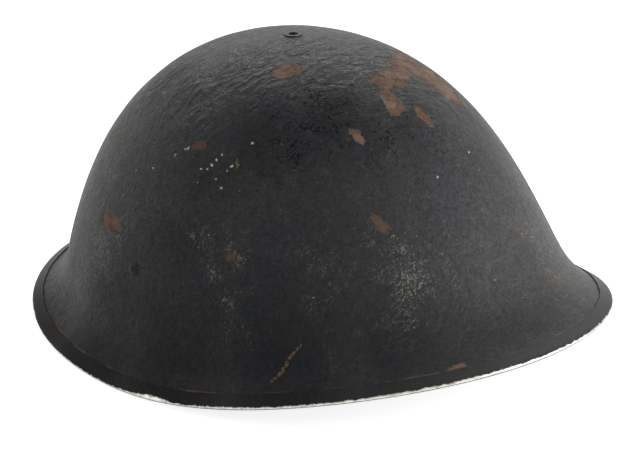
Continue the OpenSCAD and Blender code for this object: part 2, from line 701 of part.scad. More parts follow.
// The tubular bush in the crown, the liner's screw and its washer
module crown_bush() {
    color("dimgray") translate([0, crown_y, 0]) difference() {
        union() {
            translate([0, 0, crown_z + run])
                cylinder(d1 = bush_flange_d, d2 = bush_flange_d - bush_flange_t, h = bush_flange_t);
            translate([0, 0, collar_z - bush_collar_t/2])
                cylinder(d = bush_d, h = crown_z - collar_z + bush_collar_t/2 + 2*run);
            translate([0, 0, collar_z - bush_collar_t]) cylinder(r = collar_r, h = bush_collar_t);
        }
        cylinder(d = screw_d + 2*run, h = 2*crown_z);
    }
}
module liner_screw() {
    top = crown_z + run + bush_flange_t - screw_recess;
    slot_w = 1.2;
    color("gray") translate([0, crown_y, 0]) difference() {
        union() {
            translate([0, 0, head_z]) cylinder(d = screw_head_d, h = screw_head_h);
            translate([0, 0, head_z + screw_head_h/2])
                cylinder(d = screw_d, h = top - head_z - screw_head_h/2);
        }
        translate([-screw_head_d, -slot_w/2, head_z - screw_head_h/2])
            cube([2*screw_head_d, slot_w, screw_head_h]);
    }
}
module liner_washer() {
    color("gray") translate([0, crown_y, washer_z]) difference() {
        cylinder(d = washer_d, h = washer_t);
        translate([0, 0, -1]) cylinder(d = screw_d + 2*run, h = washer_t + 2);
    }
}

shell();
rim_strip();
crown_bush();
liner_screw();
liner_washer();
rivet(0);  // left_rivet
rivet(1);  // right_rivet
lug(0);  // left_lug
lug(1);  // right_lug
strap_loop(0);  // left_strap_loop
strap_loop(1);  // right_strap_loop
left_strap();
right_strap();
strap_buckle();
strap_tip();
headband();
sweatband();
tongues_cloth();
lace();
long_crown_strap();
cross_crown_strap();
crown_pad();
front_buffers();
rear_buffers();
buffer_rivets();
crown_strap_rivets();
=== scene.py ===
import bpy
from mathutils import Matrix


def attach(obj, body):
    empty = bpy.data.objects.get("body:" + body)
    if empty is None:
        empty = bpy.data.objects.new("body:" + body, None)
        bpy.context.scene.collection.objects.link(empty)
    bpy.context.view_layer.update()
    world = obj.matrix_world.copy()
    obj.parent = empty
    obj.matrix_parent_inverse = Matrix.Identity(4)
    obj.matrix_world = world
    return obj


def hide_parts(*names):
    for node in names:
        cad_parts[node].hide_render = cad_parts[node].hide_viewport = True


bl_info = {
    "name": "Wide-necked steel helmet",
    "version": (1, 0, 0),
    "blender": (4, 5, 0),
    "location": "3D Viewport > Sidebar > Helmet",
    "description": "Dresses the helmet's fixed frame: worn paint, bare rim, chin strap and liner",
    "category": "Object",
}

import math

import bpy
import numpy as np
from bpy.props import FloatProperty, FloatVectorProperty, IntProperty, PointerProperty
from mathutils import Matrix, Vector

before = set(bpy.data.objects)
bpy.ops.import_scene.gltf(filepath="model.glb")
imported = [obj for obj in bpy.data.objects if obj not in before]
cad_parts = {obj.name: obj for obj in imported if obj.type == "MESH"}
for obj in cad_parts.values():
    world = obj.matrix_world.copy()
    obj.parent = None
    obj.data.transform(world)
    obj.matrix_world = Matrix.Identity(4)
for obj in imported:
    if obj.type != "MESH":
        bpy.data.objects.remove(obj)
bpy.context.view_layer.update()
MM = 0.001


# The helmet's own shape. The skin is the shell's outer face, and these are the
# sizes in millimetres and degrees that the fixed frame was built with. Front,
# side and rear values are blended round the shell.
SHELL_H, SHELL_T = 136.3, 1.2
EDGE_R, EDGE_Z = (142.5, 125.5, 162.5), (4.5, 0.0, 28.0)
WALL_R, TURN_H = (114.0, 112.5, 122.0), (31.0, 33.5, 34.0)
WALL_DEG, EDGE_DEG = (75.5, 75.0, 57.0), (24.0, 35.0, 18.0)
CROWN_BREADTH, SHOULDER, FLARE_PULL, SET_BACK = 0.55, 0.61, 0.44, 5.0
STRIP_W, STRIP_T, BUSH_D = 6.0, 0.5, 6.4
# Room round pieces that are seated, that turn and that are soft
SEAT, RUN, SOFT = 0.1, 0.05, 0.3
RIM_FOLD_R = SHELL_T / 2 + SEAT + STRIP_T


def blended(a, values):
    front, side, rear = values
    return side * np.cos(a) ** 2 + np.where(np.sin(a) < 0, front, rear) * np.sin(a) ** 2


def oval(a, values):
    front, side, rear = values
    return 1 / np.hypot(np.cos(a) / side, np.sin(a) / np.where(np.sin(a) < 0, front, rear))


def bezier(p, t):
    u = 1 - t
    return p[0] * u**3 + 3 * p[1] * u * u * t + 3 * p[2] * u * t * t + p[3] * t**3


def skin_rz(a, s):
    """Radius and height of the skin at azimuth a; s is 0 at the crown, 1 at the turn, 2 at the edge."""
    er, ez = oval(a, EDGE_R), blended(a, EDGE_Z)
    tr, tz = oval(a, WALL_R), blended(a, EDGE_Z) + blended(a, TURN_H)
    steep, flat = np.radians(blended(a, WALL_DEG)), np.radians(blended(a, EDGE_DEG))
    hold, top = (SHELL_H - tz) * SHOULDER, SHELL_H + 0 * tr
    pull = np.hypot(er - tr, ez - tz) * FLARE_PULL
    t, f = np.clip(s, 0, 1), np.clip(s - 1, 0, 1)
    dome = (bezier([0 * tr, tr * CROWN_BREADTH, tr - hold * np.cos(steep), tr], t),
            bezier([top, top, tz + hold * np.sin(steep), tz], t))
    flare = (bezier([tr, tr + pull * np.cos(steep), er - pull * np.cos(flat), er], f),
             bezier([tz, tz - pull * np.sin(steep), ez + pull * np.sin(flat), ez], f))
    return np.where(s <= 1, dome[0], flare[0]), np.where(s <= 1, dome[1], flare[1])


def skin_normal(a, s):
    h = 0.002
    r0, z0 = skin_rz(a, np.where(s >= 1 + h, s - h, s))
    r1, z1 = skin_rz(a, np.where(s >= 1 + h, s, s + h))
    n = np.hypot(r1 - r0, z1 - z0)
    return -(z1 - z0) / n, (r1 - r0) / n


def fold_rz(a, fold_r, turn):
    """Radius and height on a round fold over the edge, turned from the skin's outward side."""
    edge = np.full_like(a, 2.0)
    er, ez = skin_rz(a, edge)
    nr, nz = skin_normal(a, edge)
    return (er - nr * SHELL_T / 2 + fold_r * (nr * np.cos(turn) + nz * np.sin(turn)),
            ez - nz * SHELL_T / 2 + fold_r * (nz * np.cos(turn) - nr * np.sin(turn)))


def strip_reach(degrees_round):
    """The strip's largest radius and least height there, as the fixed frame has them."""
    r, z = fold_rz(np.radians([degrees_round]), RIM_FOLD_R, np.radians([0, 40, 70, 110, 140, 180]))
    return r.max(), z.min()


def lean(z):
    return SET_BACK * (1 - z / SHELL_H)


# The origin lies under the middle of the helmet, at the lowest point of the rim
FRONT_Y, REAR_Y = lean(EDGE_Z[0]) - strip_reach(-90.0)[0], lean(EDGE_Z[2]) + strip_reach(90.0)[0]
CROWN_Y, LIFT = -(FRONT_Y + REAR_Y) / 2, -strip_reach(0.0)[1]


def stand(a, r, z):
    """A point in the upright plane at azimuth a, in the row's frame, in millimetres."""
    return np.stack([r * np.cos(a), r * np.sin(a) + lean(z) + CROWN_Y, z + LIFT], -1)


def skin(a, s, out=0.0):
    """Points on the skin, or that far outside it, in millimetres."""
    r, z = skin_rz(a, s)
    nr, nz = skin_normal(a, s)
    return stand(a, r + out * nr, z + out * nz)


def last_s(a, low, still):
    """The largest s from low to the edge for which still(s) is true."""
    low, high = np.full_like(a, low), np.full_like(a, 2.0)
    for _ in range(24):
        s = (low + high) / 2
        true = still(s)
        low, high = np.where(true, s, low), np.where(true, high, s)
    return (low + high) / 2


def s_from_edge(a, d):
    """The s at which the skin is d millimetres from the edge."""
    er, ez = skin_rz(a, np.full_like(a, 2.0))

    def far(s):
        r, z = skin_rz(a, s)
        return np.hypot(r - er, z - ez) > d

    return last_s(a, 1.0, far)


def s_at_height(a, z):
    return last_s(a, 0.0, lambda s: skin_rz(a, s)[1] > z)


# Small helpers for modelling by hand
def select_only(*objs):
    if bpy.context.mode != "OBJECT":
        bpy.ops.object.mode_set(mode="OBJECT")
    bpy.ops.object.select_all(action="DESELECT")
    for o in objs:
        o.select_set(True)
    bpy.context.view_layer.objects.active = objs[0]


def in_edit(obj, *steps):
    """Runs edit-mode steps on the whole mesh."""
    select_only(obj)
    bpy.ops.object.mode_set(mode="EDIT")
    bpy.ops.mesh.select_all(action="SELECT")
    for step in steps:
        step()
    bpy.ops.object.mode_set(mode="OBJECT")


def weld(obj, gap=1e-6):
    in_edit(obj, lambda: bpy.ops.mesh.remove_doubles(threshold=gap), face_outward)


def points_of(obj):
    co = np.empty(len(obj.data.vertices) * 3)
    obj.data.vertices.foreach_get("co", co)
    return co.reshape(-1, 3)


def move_points(obj, points_mm):
    obj.data.vertices.foreach_set("co", (np.asarray(points_mm) * MM).ravel())
    obj.data.update()


def bent_grid(name, across, along, shape):
    """Adds a flat grid and lays it on shape(u, v), where u and v run from 0 to 1."""
    bpy.ops.mesh.primitive_grid_add(x_subdivisions=across, y_subdivisions=along, size=1)
    obj = bpy.context.object
    obj.name = obj.data.name = name
    uv = points_of(obj)[:, :2] + 0.5
    move_points(obj, shape(uv[:, 0], uv[:, 1]))
    return obj


def modified(obj, kind, **settings):
    """Adds a modifier, sets it and applies it."""
    select_only(obj)
    m = obj.modifiers.new(kind.title(), kind)
    for key, value in settings.items():
        setattr(m, key, value)
    bpy.ops.object.modifier_apply(modifier=m.name)


def smooth(obj, degrees=35):
    select_only(obj)
    bpy.ops.object.shade_smooth_by_angle(angle=math.radians(degrees))


def joined(first, *others):
    select_only(first, *others)
    bpy.ops.object.join()
    return first


def attribute(obj, name, values):
    layer = obj.data.attributes.new(name, "FLOAT", "POINT")
    layer.data.foreach_set("value", np.asarray(values, np.float32))


def face_outward():
    bpy.ops.mesh.normals_make_consistent(inside=False)


def seat_piece(obj, body, slot, *nodes):
    """Puts a finished piece on its body, with the finish of its slot and the nodes it stands for."""
    obj.data.materials.clear()
    obj.data.materials.append(finish(slot))
    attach(obj, body)
    if nodes:
        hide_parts(*nodes)


def dressed_copy(node, name, bevel_mm=0.0, segments=2, degrees=30):
    """A copy of a fixed node with merged corners and softened edges."""
    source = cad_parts[node]
    obj = bpy.data.objects.new(name, source.data.copy())
    bpy.context.scene.collection.objects.link(obj)
    obj.data.materials.clear()
    for key in ("custom_normal", "sharp_edge", "sharp_face"):
        if key in obj.data.attributes:
            obj.data.attributes.remove(obj.data.attributes[key])
    weld(obj, 2e-6)
    in_edit(obj, lambda: bpy.ops.mesh.dissolve_limited(angle_limit=math.radians(0.4)))
    if bevel_mm:
        modified(obj, "BEVEL", width=bevel_mm * MM, segments=segments, limit_method="ANGLE",
                 angle_limit=math.radians(degrees), harden_normals=False)
    smooth(obj, degrees)
    return obj


def seat_copy(node, ending, body, slot, *edges, **angle):
    """A dressed copy of one fixed node, seated in its place."""
    seat_piece(dressed_copy(node, node + "_" + ending, *edges, **angle), body, slot, node)


# The photograph's camera, in degrees and millimetres, and the photograph's size in pixels
AZIMUTH, ELEVATION, ROLL = math.radians(43.6013), math.radians(21.6342), math.radians(-0.3333)
DISTANCE, AIM, LENS, SENSOR_W = 931.904, (0.0, 2.4483, 44.3692), 108.0, 36.0
PHOTO_W, PHOTO_H = 640, 455

# The marks on the old paint, as outlines given in the photograph's pixels
CHIPS = {
    "under_the_crown": [(271, 73), (274, 69.5), (280, 66), (290, 63), (298, 64.5), (306, 68), (300, 72.5),
                        (291, 76), (280, 78), (275, 76.5)],
    "large_rear": [(370, 76), (383, 72), (389.5, 67), (390, 57.5), (395, 52.6), (401, 52), (423, 66),
                   (437, 75), (448, 83.5), (451, 89), (462, 103), (458, 104.6), (444, 97.5), (437, 89),
                   (423, 80), (415, 74), (409, 77), (405.6, 85), (395, 87), (389.5, 87.7), (388.5, 92),
                   (394, 95), (399, 102.5), (406, 109.5), (399, 114), (393, 114), (388, 109), (381, 96),
                   (384, 91), (383, 86.5), (374, 82)],
    "rear_sliver": [(413.5, 107), (417, 107.5), (428, 117), (432, 126), (427, 124.5), (419, 117)],
    "rear_small": [(350, 131.5), (353.5, 130.3), (357, 131.5), (362, 137), (363, 141), (361, 143),
                   (357.5, 142), (354, 136)],
    "over_the_rivet": [(103, 220), (104, 215), (111.5, 212.5), (115, 217), (121, 221), (123, 228), (121, 231),
                       (112, 229.5), (106, 226)],
    "front_shoulder": [(109.5, 137), (112, 133), (116, 130), (115.5, 133), (111.5, 138)],
    "at_the_strip": [(450, 372), (451.5, 367), (456, 364.5), (463, 364), (467, 368), (466.5, 371)],
    "side_speck": [(190, 234), (194, 236), (196, 239), (192, 237.5)],
}
WORN_SPOTS = {
    "left_shoulder": [(192, 147), (193.5, 143), (199, 141), (206, 142), (205, 147), (197, 149.5), (193, 151)],
    "rear_side": [(370, 217), (374, 213), (382, 221), (389, 227), (388, 232), (380, 231), (375, 225)],
    "left_wall": [(225, 258), (227, 254), (232, 253), (236, 256), (234, 260), (229, 261.5)],
}
# Scratches, as lines in the photograph's pixels with half their width in millimetres
SCRATCHES = [
    ([(268, 386), (273, 380), (281, 373), (286, 366), (289, 359), (296, 351), (304, 342)], 0.75),
    ([(237.6, 158), (237.6, 169)], 0.8),
    ([(316, 165), (318, 173)], 0.45),
    ([(277.7, 93.2), (280.2, 94.2)], 0.6),
    ([(479, 187), (476.4, 174.8), (476.4, 168.6)], 0.35),
]
# Pale flecks: a pixel of the photograph, and the radius in millimetres
FLECKS = [(175, 155, 0.5), (188, 148, 0.7), (185, 149, 0.45), (216.5, 160, 0.5), (212, 165, 0.6),
          (207.5, 169, 0.4), (222, 155, 0.4), (232, 166, 0.6), (227, 171, 0.4), (252, 143, 0.55),
          (153, 168, 0.5), (216, 179, 0.4), (221, 188, 0.5), (438, 177, 0.6), (469, 152, 0.4),
          (201, 169, 0.35)]

# Soft fields of wear: degrees round from the wearer's left towards the rear,
# s from the crown to the edge, reach in millimetres and strength
FIELDS = {
    "scuff": [(66, 0.90, 17, 0.8), (68, 1.0, 20, 1.0), (66, 1.17, 16, 0.8), (20, 0.80, 10, 0.8),
              (24, 0.88, 9, 0.9), (28, 0.95, 13, 0.8), (30, 1.06, 12, 0.7), (29, 0.84, 11, 0.9),
              (50, 0.91, 15, 0.6), (47, 0.98, 9, 0.5), (-15, 0.90, 24, 1.0), (-24, 1.1, 24, 0.85),
              (-9, 0.84, 14, 1.0), (-26, 0.72, 22, 0.9), (106, 1.15, 26, 0.8), (104, 1.5, 22, 0.75),
              (118, 0.85, 20, 0.8), (150, 0.9, 40, 0.6), (215, 0.8, 36, 0.6), (250, 1.1, 34, 0.7),
              (300, 0.7, 40, 0.5), (180, 1.3, 34, 0.5)],
    "wrinkle": [(75, 0.17, 34, 0.9), (110, 0.3, 34, 1.0), (130, 0.45, 26, 0.7), (100, 0.42, 24, 0.6),
                (20, 0.2, 30, 0.6), (-15, 0.38, 22, 0.8), (0, 0.45, 18, 0.5), (-40, 0.4, 25, 0.6),
                (260, 0.3, 40, 0.7), (200, 0.5, 40, 0.5)],
    "crackle": [(52, 0.42, 30, 1.0), (42, 0.55, 24, 0.8), (76, 0.56, 26, 0.8), (90, 0.62, 14, 0.5),
                (30, 0.4, 20, 0.5), (230, 0.6, 40, 0.8), (290, 0.5, 30, 0.7)],
    "haze": [(70, 0.16, 26, 0.7), (105, 0.3, 26, 0.7), (-20, 0.62, 40, 0.9), (-22, 0.95, 40, 1.0),
             (-30, 1.3, 40, 0.8), (-5, 0.75, 24, 0.6), (105, 0.9, 40, 0.8), (100, 0.65, 30, 0.6),
             (110, 1.3, 40, 0.7), (210, 0.9, 60, 0.8), (270, 0.9, 60, 0.8)],
    "dull": [(-35, 1.5, 60, 1.0), (-10, 1.55, 52, 1.0), (15, 1.5, 48, 1.0), (40, 1.5, 46, 0.9),
             (60, 1.6, 30, 0.6), (60, 0.42, 26, 1.0), (35, 0.47, 26, 0.9), (85, 0.5, 20, 0.6),
             (15, 0.62, 28, 0.6), (12, 0.82, 30, 0.6), (240, 1.5, 60, 0.8)],
    # This field is dust and painted sheen on the walls to either side
    "dust": [(-25, 0.9, 34, 1.0), (-20, 1.25, 26, 0.9), (-30, 0.65, 26, 0.7), (112, 1.1, 34, 0.8),
             (108, 1.45, 30, 1.0), (125, 0.75, 30, 0.8), (240, 1.2, 50, 0.8), (190, 0.9, 40, 0.7)],
}
# Gentle dents: degrees round, s, reach and depth in millimetres
DENTS = [(-12, 0.40, 16, 0.55), (-24, 0.37, 13, 0.4), (4, 0.44, 14, 0.35), (-33, 0.2, 22, 0.35),
         (98, 0.2, 22, 0.4), (125, 0.36, 18, 0.3), (60, 0.8, 30, 0.25), (230, 0.6, 24, 0.5),
         (300, 0.9, 22, 0.4), (20, 1.3, 30, 0.3)]
# The largest depth in millimetres that an outline of a mark gives
DEPTH_LIMIT = 12.0


def camera_axes(azimuth, elevation, roll):
    """The picture's right and up, and the way back to the camera."""
    level = math.cos(elevation)
    back = np.array([math.cos(azimuth) * level, math.sin(azimuth) * level, math.sin(elevation)])
    right = np.array([-math.sin(azimuth), math.cos(azimuth), 0.0])
    up = np.cross(back, right)
    return (right * math.cos(roll) + up * math.sin(roll),
            up * math.cos(roll) - right * math.sin(roll), back)


def skin_grid(mid_a, mid_s, reach_a, reach_s, count):
    """Places on the skin round a middle one: their azimuths, their s and their points."""
    steps = np.linspace(-1, 1, count)
    a, s = np.meshgrid(mid_a + steps * reach_a, np.clip(mid_s + steps * reach_s, 0.005, 1.995))
    return a.ravel(), s.ravel(), stand(a.ravel(), *skin_rz(a.ravel(), s.ravel()))


PHOTO_RIGHT, PHOTO_UP, PHOTO_BACK = camera_axes(AZIMUTH, ELEVATION, ROLL)
SEEN_SIDE = skin_grid(AZIMUTH, 1.0, math.radians(108), 0.99, 161)


def pictured(px, py):
    """The point of the skin that the photograph shows at a pixel, found by ever closer looks."""
    focal = LENS / SENSOR_W * PHOTO_W
    grid, reach = SEEN_SIDE, 0.05
    for _ in range(7):
        a, s, points = grid
        away = points - AIM - PHOTO_BACK * DISTANCE
        depth = -(away @ PHOTO_BACK)
        miss = np.hypot(focal * (away @ PHOTO_RIGHT) / depth - (px - PHOTO_W / 2),
                        focal * (away @ PHOTO_UP) / depth + (py - PHOTO_H / 2))
        # Of two places behind one another, the nearer is the one that shows
        best = (miss + 0.02 * depth).argmin()
        grid = skin_grid(a[best], s[best], reach * math.radians(108), reach, 21)
        reach *= 0.2
    return points[best]


def place(degrees_round, s):
    return skin(np.radians(np.array([float(degrees_round)])), np.array([float(s)]))[0]


def blob_field(points, blobs):
    """The strongest of some soft blobs at each point."""
    field = np.zeros(len(points))
    for deg, s, reach, strength in blobs:
        d = np.linalg.norm(points - place(deg, s), axis=1) / reach
        field = np.maximum(field, strength * np.exp(-1.4 * d * d))
    return field


def flat_frame(corners):
    """The middle of an outline on the skin, and two directions along the skin there."""
    middle = corners.mean(0)
    normal = np.linalg.svd(corners - middle)[2][2]
    across = unit(np.cross(normal, [0, 0, 1.0]))
    return middle, np.stack([across, np.cross(normal, across)], 1)


def from_span(points, a, b):
    """How far points are from the span between two others, and where along it each is nearest."""
    ab = b - a
    t = np.clip(((points - a) @ ab) / (ab @ ab), 0, 1)
    return np.linalg.norm(points - a - t[:, None] * ab, axis=1), t


def patch_depth(points, outline):
    """How far inside an outline each point is, in millimetres, and less than zero outside it."""
    corners = np.array([pictured(*pixel) for pixel in outline])
    middle, flat = flat_frame(corners)
    reach = np.linalg.norm(corners - middle, axis=1).max() + DEPTH_LIMIT
    near = np.linalg.norm(points - middle, axis=1) < reach
    depth = np.full(len(points), -DEPTH_LIMIT)
    p, c = (points[near] - middle) @ flat, (corners - middle) @ flat
    best, inside = np.full(len(p), np.inf), np.zeros(len(p), bool)
    for a, b in zip(c, np.roll(c, -1, axis=0)):
        best = np.minimum(best, from_span(p, a, b)[0])
        crosses = (a[1] > p[:, 1]) != (b[1] > p[:, 1])
        slope = (b[0] - a[0]) / ((b[1] - a[1]) or 1e-9)
        inside ^= crosses & (p[:, 0] < a[0] + (p[:, 1] - a[1]) * slope)
    depth[near] = np.maximum(np.where(inside, best, -best), -DEPTH_LIMIT)
    return depth


def line_depth(points, line, half_width):
    """The same for a line of some width that thins towards its ends."""
    stops = [pictured(*pixel) for pixel in line]
    best = np.full(len(points), -DEPTH_LIMIT)
    spans = len(stops) - 1
    for i, (a, b) in enumerate(zip(stops[:-1], stops[1:])):
        away, t = from_span(points, a, b)
        taper = np.sqrt(np.clip(1 - (2 * (i + t) / spans - 1) ** 2, 0.05, 1))
        best = np.maximum(best, half_width * taper - away)
    return best


# The frame's own plain materials have the slots' names, so these have this before them
WORN = "worn_"


class Value:
    """What a node gives: it adds, subtracts and multiplies like a number, by new nodes."""

    def __init__(self, finish, socket):
        self.finish, self.socket = finish, socket

    def __add__(self, other):
        return self.finish.math("ADD", self, other)

    def __sub__(self, other):
        return self.finish.math("SUBTRACT", self, other)

    def __rsub__(self, other):
        return self.finish.math("SUBTRACT", other, self)

    def __mul__(self, other):
        return self.finish.math("MULTIPLY", self, other)

    def __abs__(self):
        return self.finish.math("ABSOLUTE", self)


class Finish:
    """A material's nodes, with short ways to add and join them."""

    def __init__(self, name):
        self.material = bpy.data.materials.new(WORN + name)
        self.material.use_nodes = True
        self.tree = self.material.node_tree
        self.tree.nodes.clear()
        self.column = 0

    def add(self, kind, settings=None, **inputs):
        node = self.tree.nodes.new(kind)
        self.column += 1
        node.location = (self.column % 12 * 200, -(self.column // 12) * 300)
        for key, value in (settings or {}).items():
            setattr(node, key, value)
        for key, value in inputs.items():
            self.plug(node, key.replace("_", " "), value)
        return node

    def plug(self, node, name, value):
        socket = node.inputs[int(name)] if name.isdigit() else node.inputs[name]
        if isinstance(value, Value):
            self.tree.links.new(value.socket, socket)
        else:
            socket.default_value = tuple(value) if isinstance(value, np.ndarray) else value

    def get(self, out, kind, settings=None, **inputs):
        """One output of a new node."""
        return Value(self, self.add(kind, settings, **inputs).outputs[out])

    def mm(self, scale=(1, 1, 1), turn=(0, 0, 0)):
        """Object coordinates in millimetres, turned and stretched."""
        return self.get("Vector", "ShaderNodeMapping", {"vector_type": "POINT"},
                        Vector=self.get("Object", "ShaderNodeTexCoord"),
                        Rotation=[math.radians(t) for t in turn], Scale=[s / MM for s in scale])

    def noise(self, at, scale, detail=4.0, roughness=0.55, distortion=0.0):
        return self.get("Fac", "ShaderNodeTexNoise", Vector=at, Scale=scale, Detail=detail,
                        Roughness=roughness, Distortion=distortion)

    def cells(self, at, scale, feature="F1", out="Distance"):
        return self.get(out, "ShaderNodeTexVoronoi", {"feature": feature}, Vector=at, Scale=scale)

    def math(self, operation, a, b=0.0):
        return self.get(0, "ShaderNodeMath", {"operation": operation}, **{"0": a, "1": b})

    def vector(self, operation, a, b, out="Vector"):
        return self.get(out, "ShaderNodeVectorMath", {"operation": operation}, **{"0": a, "1": b})

    def step(self, value, low, high, to_low=0.0, to_high=1.0, soft=True):
        return self.get("Result", "ShaderNodeMapRange",
                        {"interpolation_type": "SMOOTHSTEP" if soft else "LINEAR"}, Value=value,
                        From_Min=low, From_Max=high, To_Min=to_low, To_Max=to_high)

    def mix(self, share, a, b):
        a, b = (colour if isinstance(colour, Value) else (*colour[:3], 1.0) for colour in (a, b))
        return self.get(2, "ShaderNodeMix", {"data_type": "RGBA"}, **{"0": share, "6": a, "7": b})

    def field(self, name):
        return self.get("Fac", "ShaderNodeAttribute", {"attribute_name": name})

    def proud(self):
        return self.get("Pointiness", "ShaderNodeNewGeometry")

    def bump(self, height_mm):
        return self.get("Normal", "ShaderNodeBump", Height=height_mm, Distance=MM)

    def surface(self, **inputs):
        """The shader and the output; Base_Color, Roughness and so on, as values or plain numbers."""
        shader = self.get("BSDF", "ShaderNodeBsdfPrincipled", **inputs)
        self.add("ShaderNodeOutputMaterial", Surface=shader)
        return self.material


# The finishes
def times(colour, share):
    return [c * share for c in colour[:3]]


def flecks(f, at):
    """Where small splashes of pale paint lie, from the list of flecks."""
    closest = None
    for px, py, radius in FLECKS:
        away = f.vector("DISTANCE", at, pictured(px, py), "Value") - radius
        closest = away if closest is None else f.math("MINIMUM", closest, away)
    ragged = (f.noise(at, 1.5, 4) - 0.5) * 3.2
    return f.step(closest + ragged, -0.25, 0.1, 1.0, 0.0)


def bent(f, at, by):
    """The same places pushed about by a noise, so that a net of cells isn't straight."""
    push = f.get("Color", "ShaderNodeTexNoise", Vector=at, Scale=0.5, Detail=3.0)
    scaled = f.get("Vector", "ShaderNodeVectorMath", {"operation": "SCALE"}, **{"0": push, "Scale": by})
    return f.vector("ADD", at, scaled)


def top_coat(f, at, look, mid, fine):
    """The black paint with its dust and painted sheen, haze, scuffs, hairlines and specks, and how rubbed it
    is.
    """
    scuff, haze = f.field("scuff"), f.field("haze")
    paint = f.mix(f.step(f.noise(at, 0.03, 3), 0.36, 0.64), look.cool, look.warm)
    paint = f.mix(f.step(mid, 0.3, 0.72, 0.0, 0.38), paint, (0.004, 0.004, 0.005))
    # Dust and painted sheen: the walls to either side are painted paler in blotches
    dust = f.field("dust") * f.step(mid, 0.42, 0.66, 0.1, 0.75)
    paint = f.mix(dust, paint, look.dust)
    # A dull haze that has dried in a fine net
    net = f.step(f.cells(bent(f, at, 1.0), 0.62, "DISTANCE_TO_EDGE"), 0.02, 0.2, 1.0, 0.0)
    net = net * f.step(f.noise(at, 0.3, 5, 0.6), 0.4, 0.58) + f.step(fine, 0.5, 0.66) * 0.5
    paint = f.mix(net * (haze * 0.5), paint, (0.10, 0.095, 0.09))
    # Rubbed places, as pale streaks and specks
    streaks = f.noise(f.mm(scale=(1.0, 1.0, 0.5), turn=(28, 12, 0)), 1.0, 5, 0.68, 0.8)
    rubbed = streaks * 0.8 + f.noise(at, 1.1, 3, 0.6) * 0.62
    rubbed = f.step(rubbed + scuff * 0.3, 0.98, 1.13)
    paint = f.mix(rubbed * 0.75, paint, look.rubbed)
    ridge = f.noise(f.mm(scale=(0.09, 0.5, 0.3), turn=(0, 35, 20)), 1.0, 3, 0.5)
    hair = f.step(abs(ridge - 0.5), 0.0, 0.014, 1.0, 0.0) * f.step(f.noise(at, 0.12, 2), 0.48, 0.6)
    paint = f.mix(hair * f.step(scuff, 0.05, 0.7, 0.2, 0.85), paint, look.rubbed)
    chosen = f.cells(at, 0.34, out="Color") + scuff * 0.16
    dot = f.step(f.cells(at, 0.34), 0.06, 0.2, 1.0, 0.0) * f.step(chosen, 0.86, 0.95)
    paint = f.mix(dot * 0.85, paint, times(look.rubbed, 1.25))
    return paint, rubbed


def chips_in(f, at, look, mid, fine, paint):
    """Adds the chips, worn spots, scratches and splashes, and gives how worn each place is."""
    ragged = (f.noise(at, 0.55, 7, 0.62) - 0.5) * 4.2 + (f.noise(at, 2.6, 3) - 0.5) * 1.2
    depth = f.field("chip") + 0.45 + ragged
    chip = f.step(depth, -0.1, 0.12)
    primer = f.mix(f.step(mid, 0.38, 0.66), look.primer, times(look.primer, 0.62))
    primer = f.mix(f.step(f.noise(at, 0.16, 3), 0.48, 0.6, 0.0, 0.7), primer, look.primer_pale)
    specks = f.step(fine + f.step(depth, 0.5, 4.0, 1.0, 0.0) * 0.05, 0.57, 0.66, 0.0, 0.6)
    primer = f.mix(specks, primer, (0.02, 0.017, 0.016))
    # The band round each chip is painted near-black or pale by a noise: painted shadow and painted highlight
    # of the paint's edge
    lip_shading = f.step(abs(depth + 0.3), 0.0, 0.5, 0.8, 0.0)
    lip_shadow_and_highlight = f.mix(f.step(f.noise(at, 0.25, 3), 0.42, 0.58), (0.003, 0.003, 0.003), (0.15, 0.125, 0.10))
    paint = f.mix(chip, f.mix(lip_shading, paint, lip_shadow_and_highlight), primer)
    spot = f.step(f.field("spot") + 0.5 + ragged * 1.3, -0.5, 1.2, 0.0, 0.9)
    paint = f.mix(spot, paint, times(look.primer, 0.75))
    jitter = (f.noise(at, 0.9, 4) - 0.5) * 1.5
    scratch = f.step(f.field("scratch") + jitter, -0.25, 0.2)
    grooves = f.mix(f.step(mid, 0.4, 0.65), (0.17, 0.12, 0.065), (0.06, 0.042, 0.03))
    paint = f.mix(scratch, paint, grooves)
    paint = f.mix(flecks(f, at), paint, (0.55, 0.54, 0.51))
    seam = f.step(f.field("line"), 0.2, 1.3, 1.0, 0.0) * f.step(f.noise(at, 0.05, 4), 0.45, 0.54)
    paint = f.mix(seam * f.step(fine, 0.4, 0.56, 0.3, 0.95), paint, (0.14, 0.078, 0.04))
    return paint, f.math("MAXIMUM", chip, scratch), f.math("MAXIMUM", spot, lip_shading)


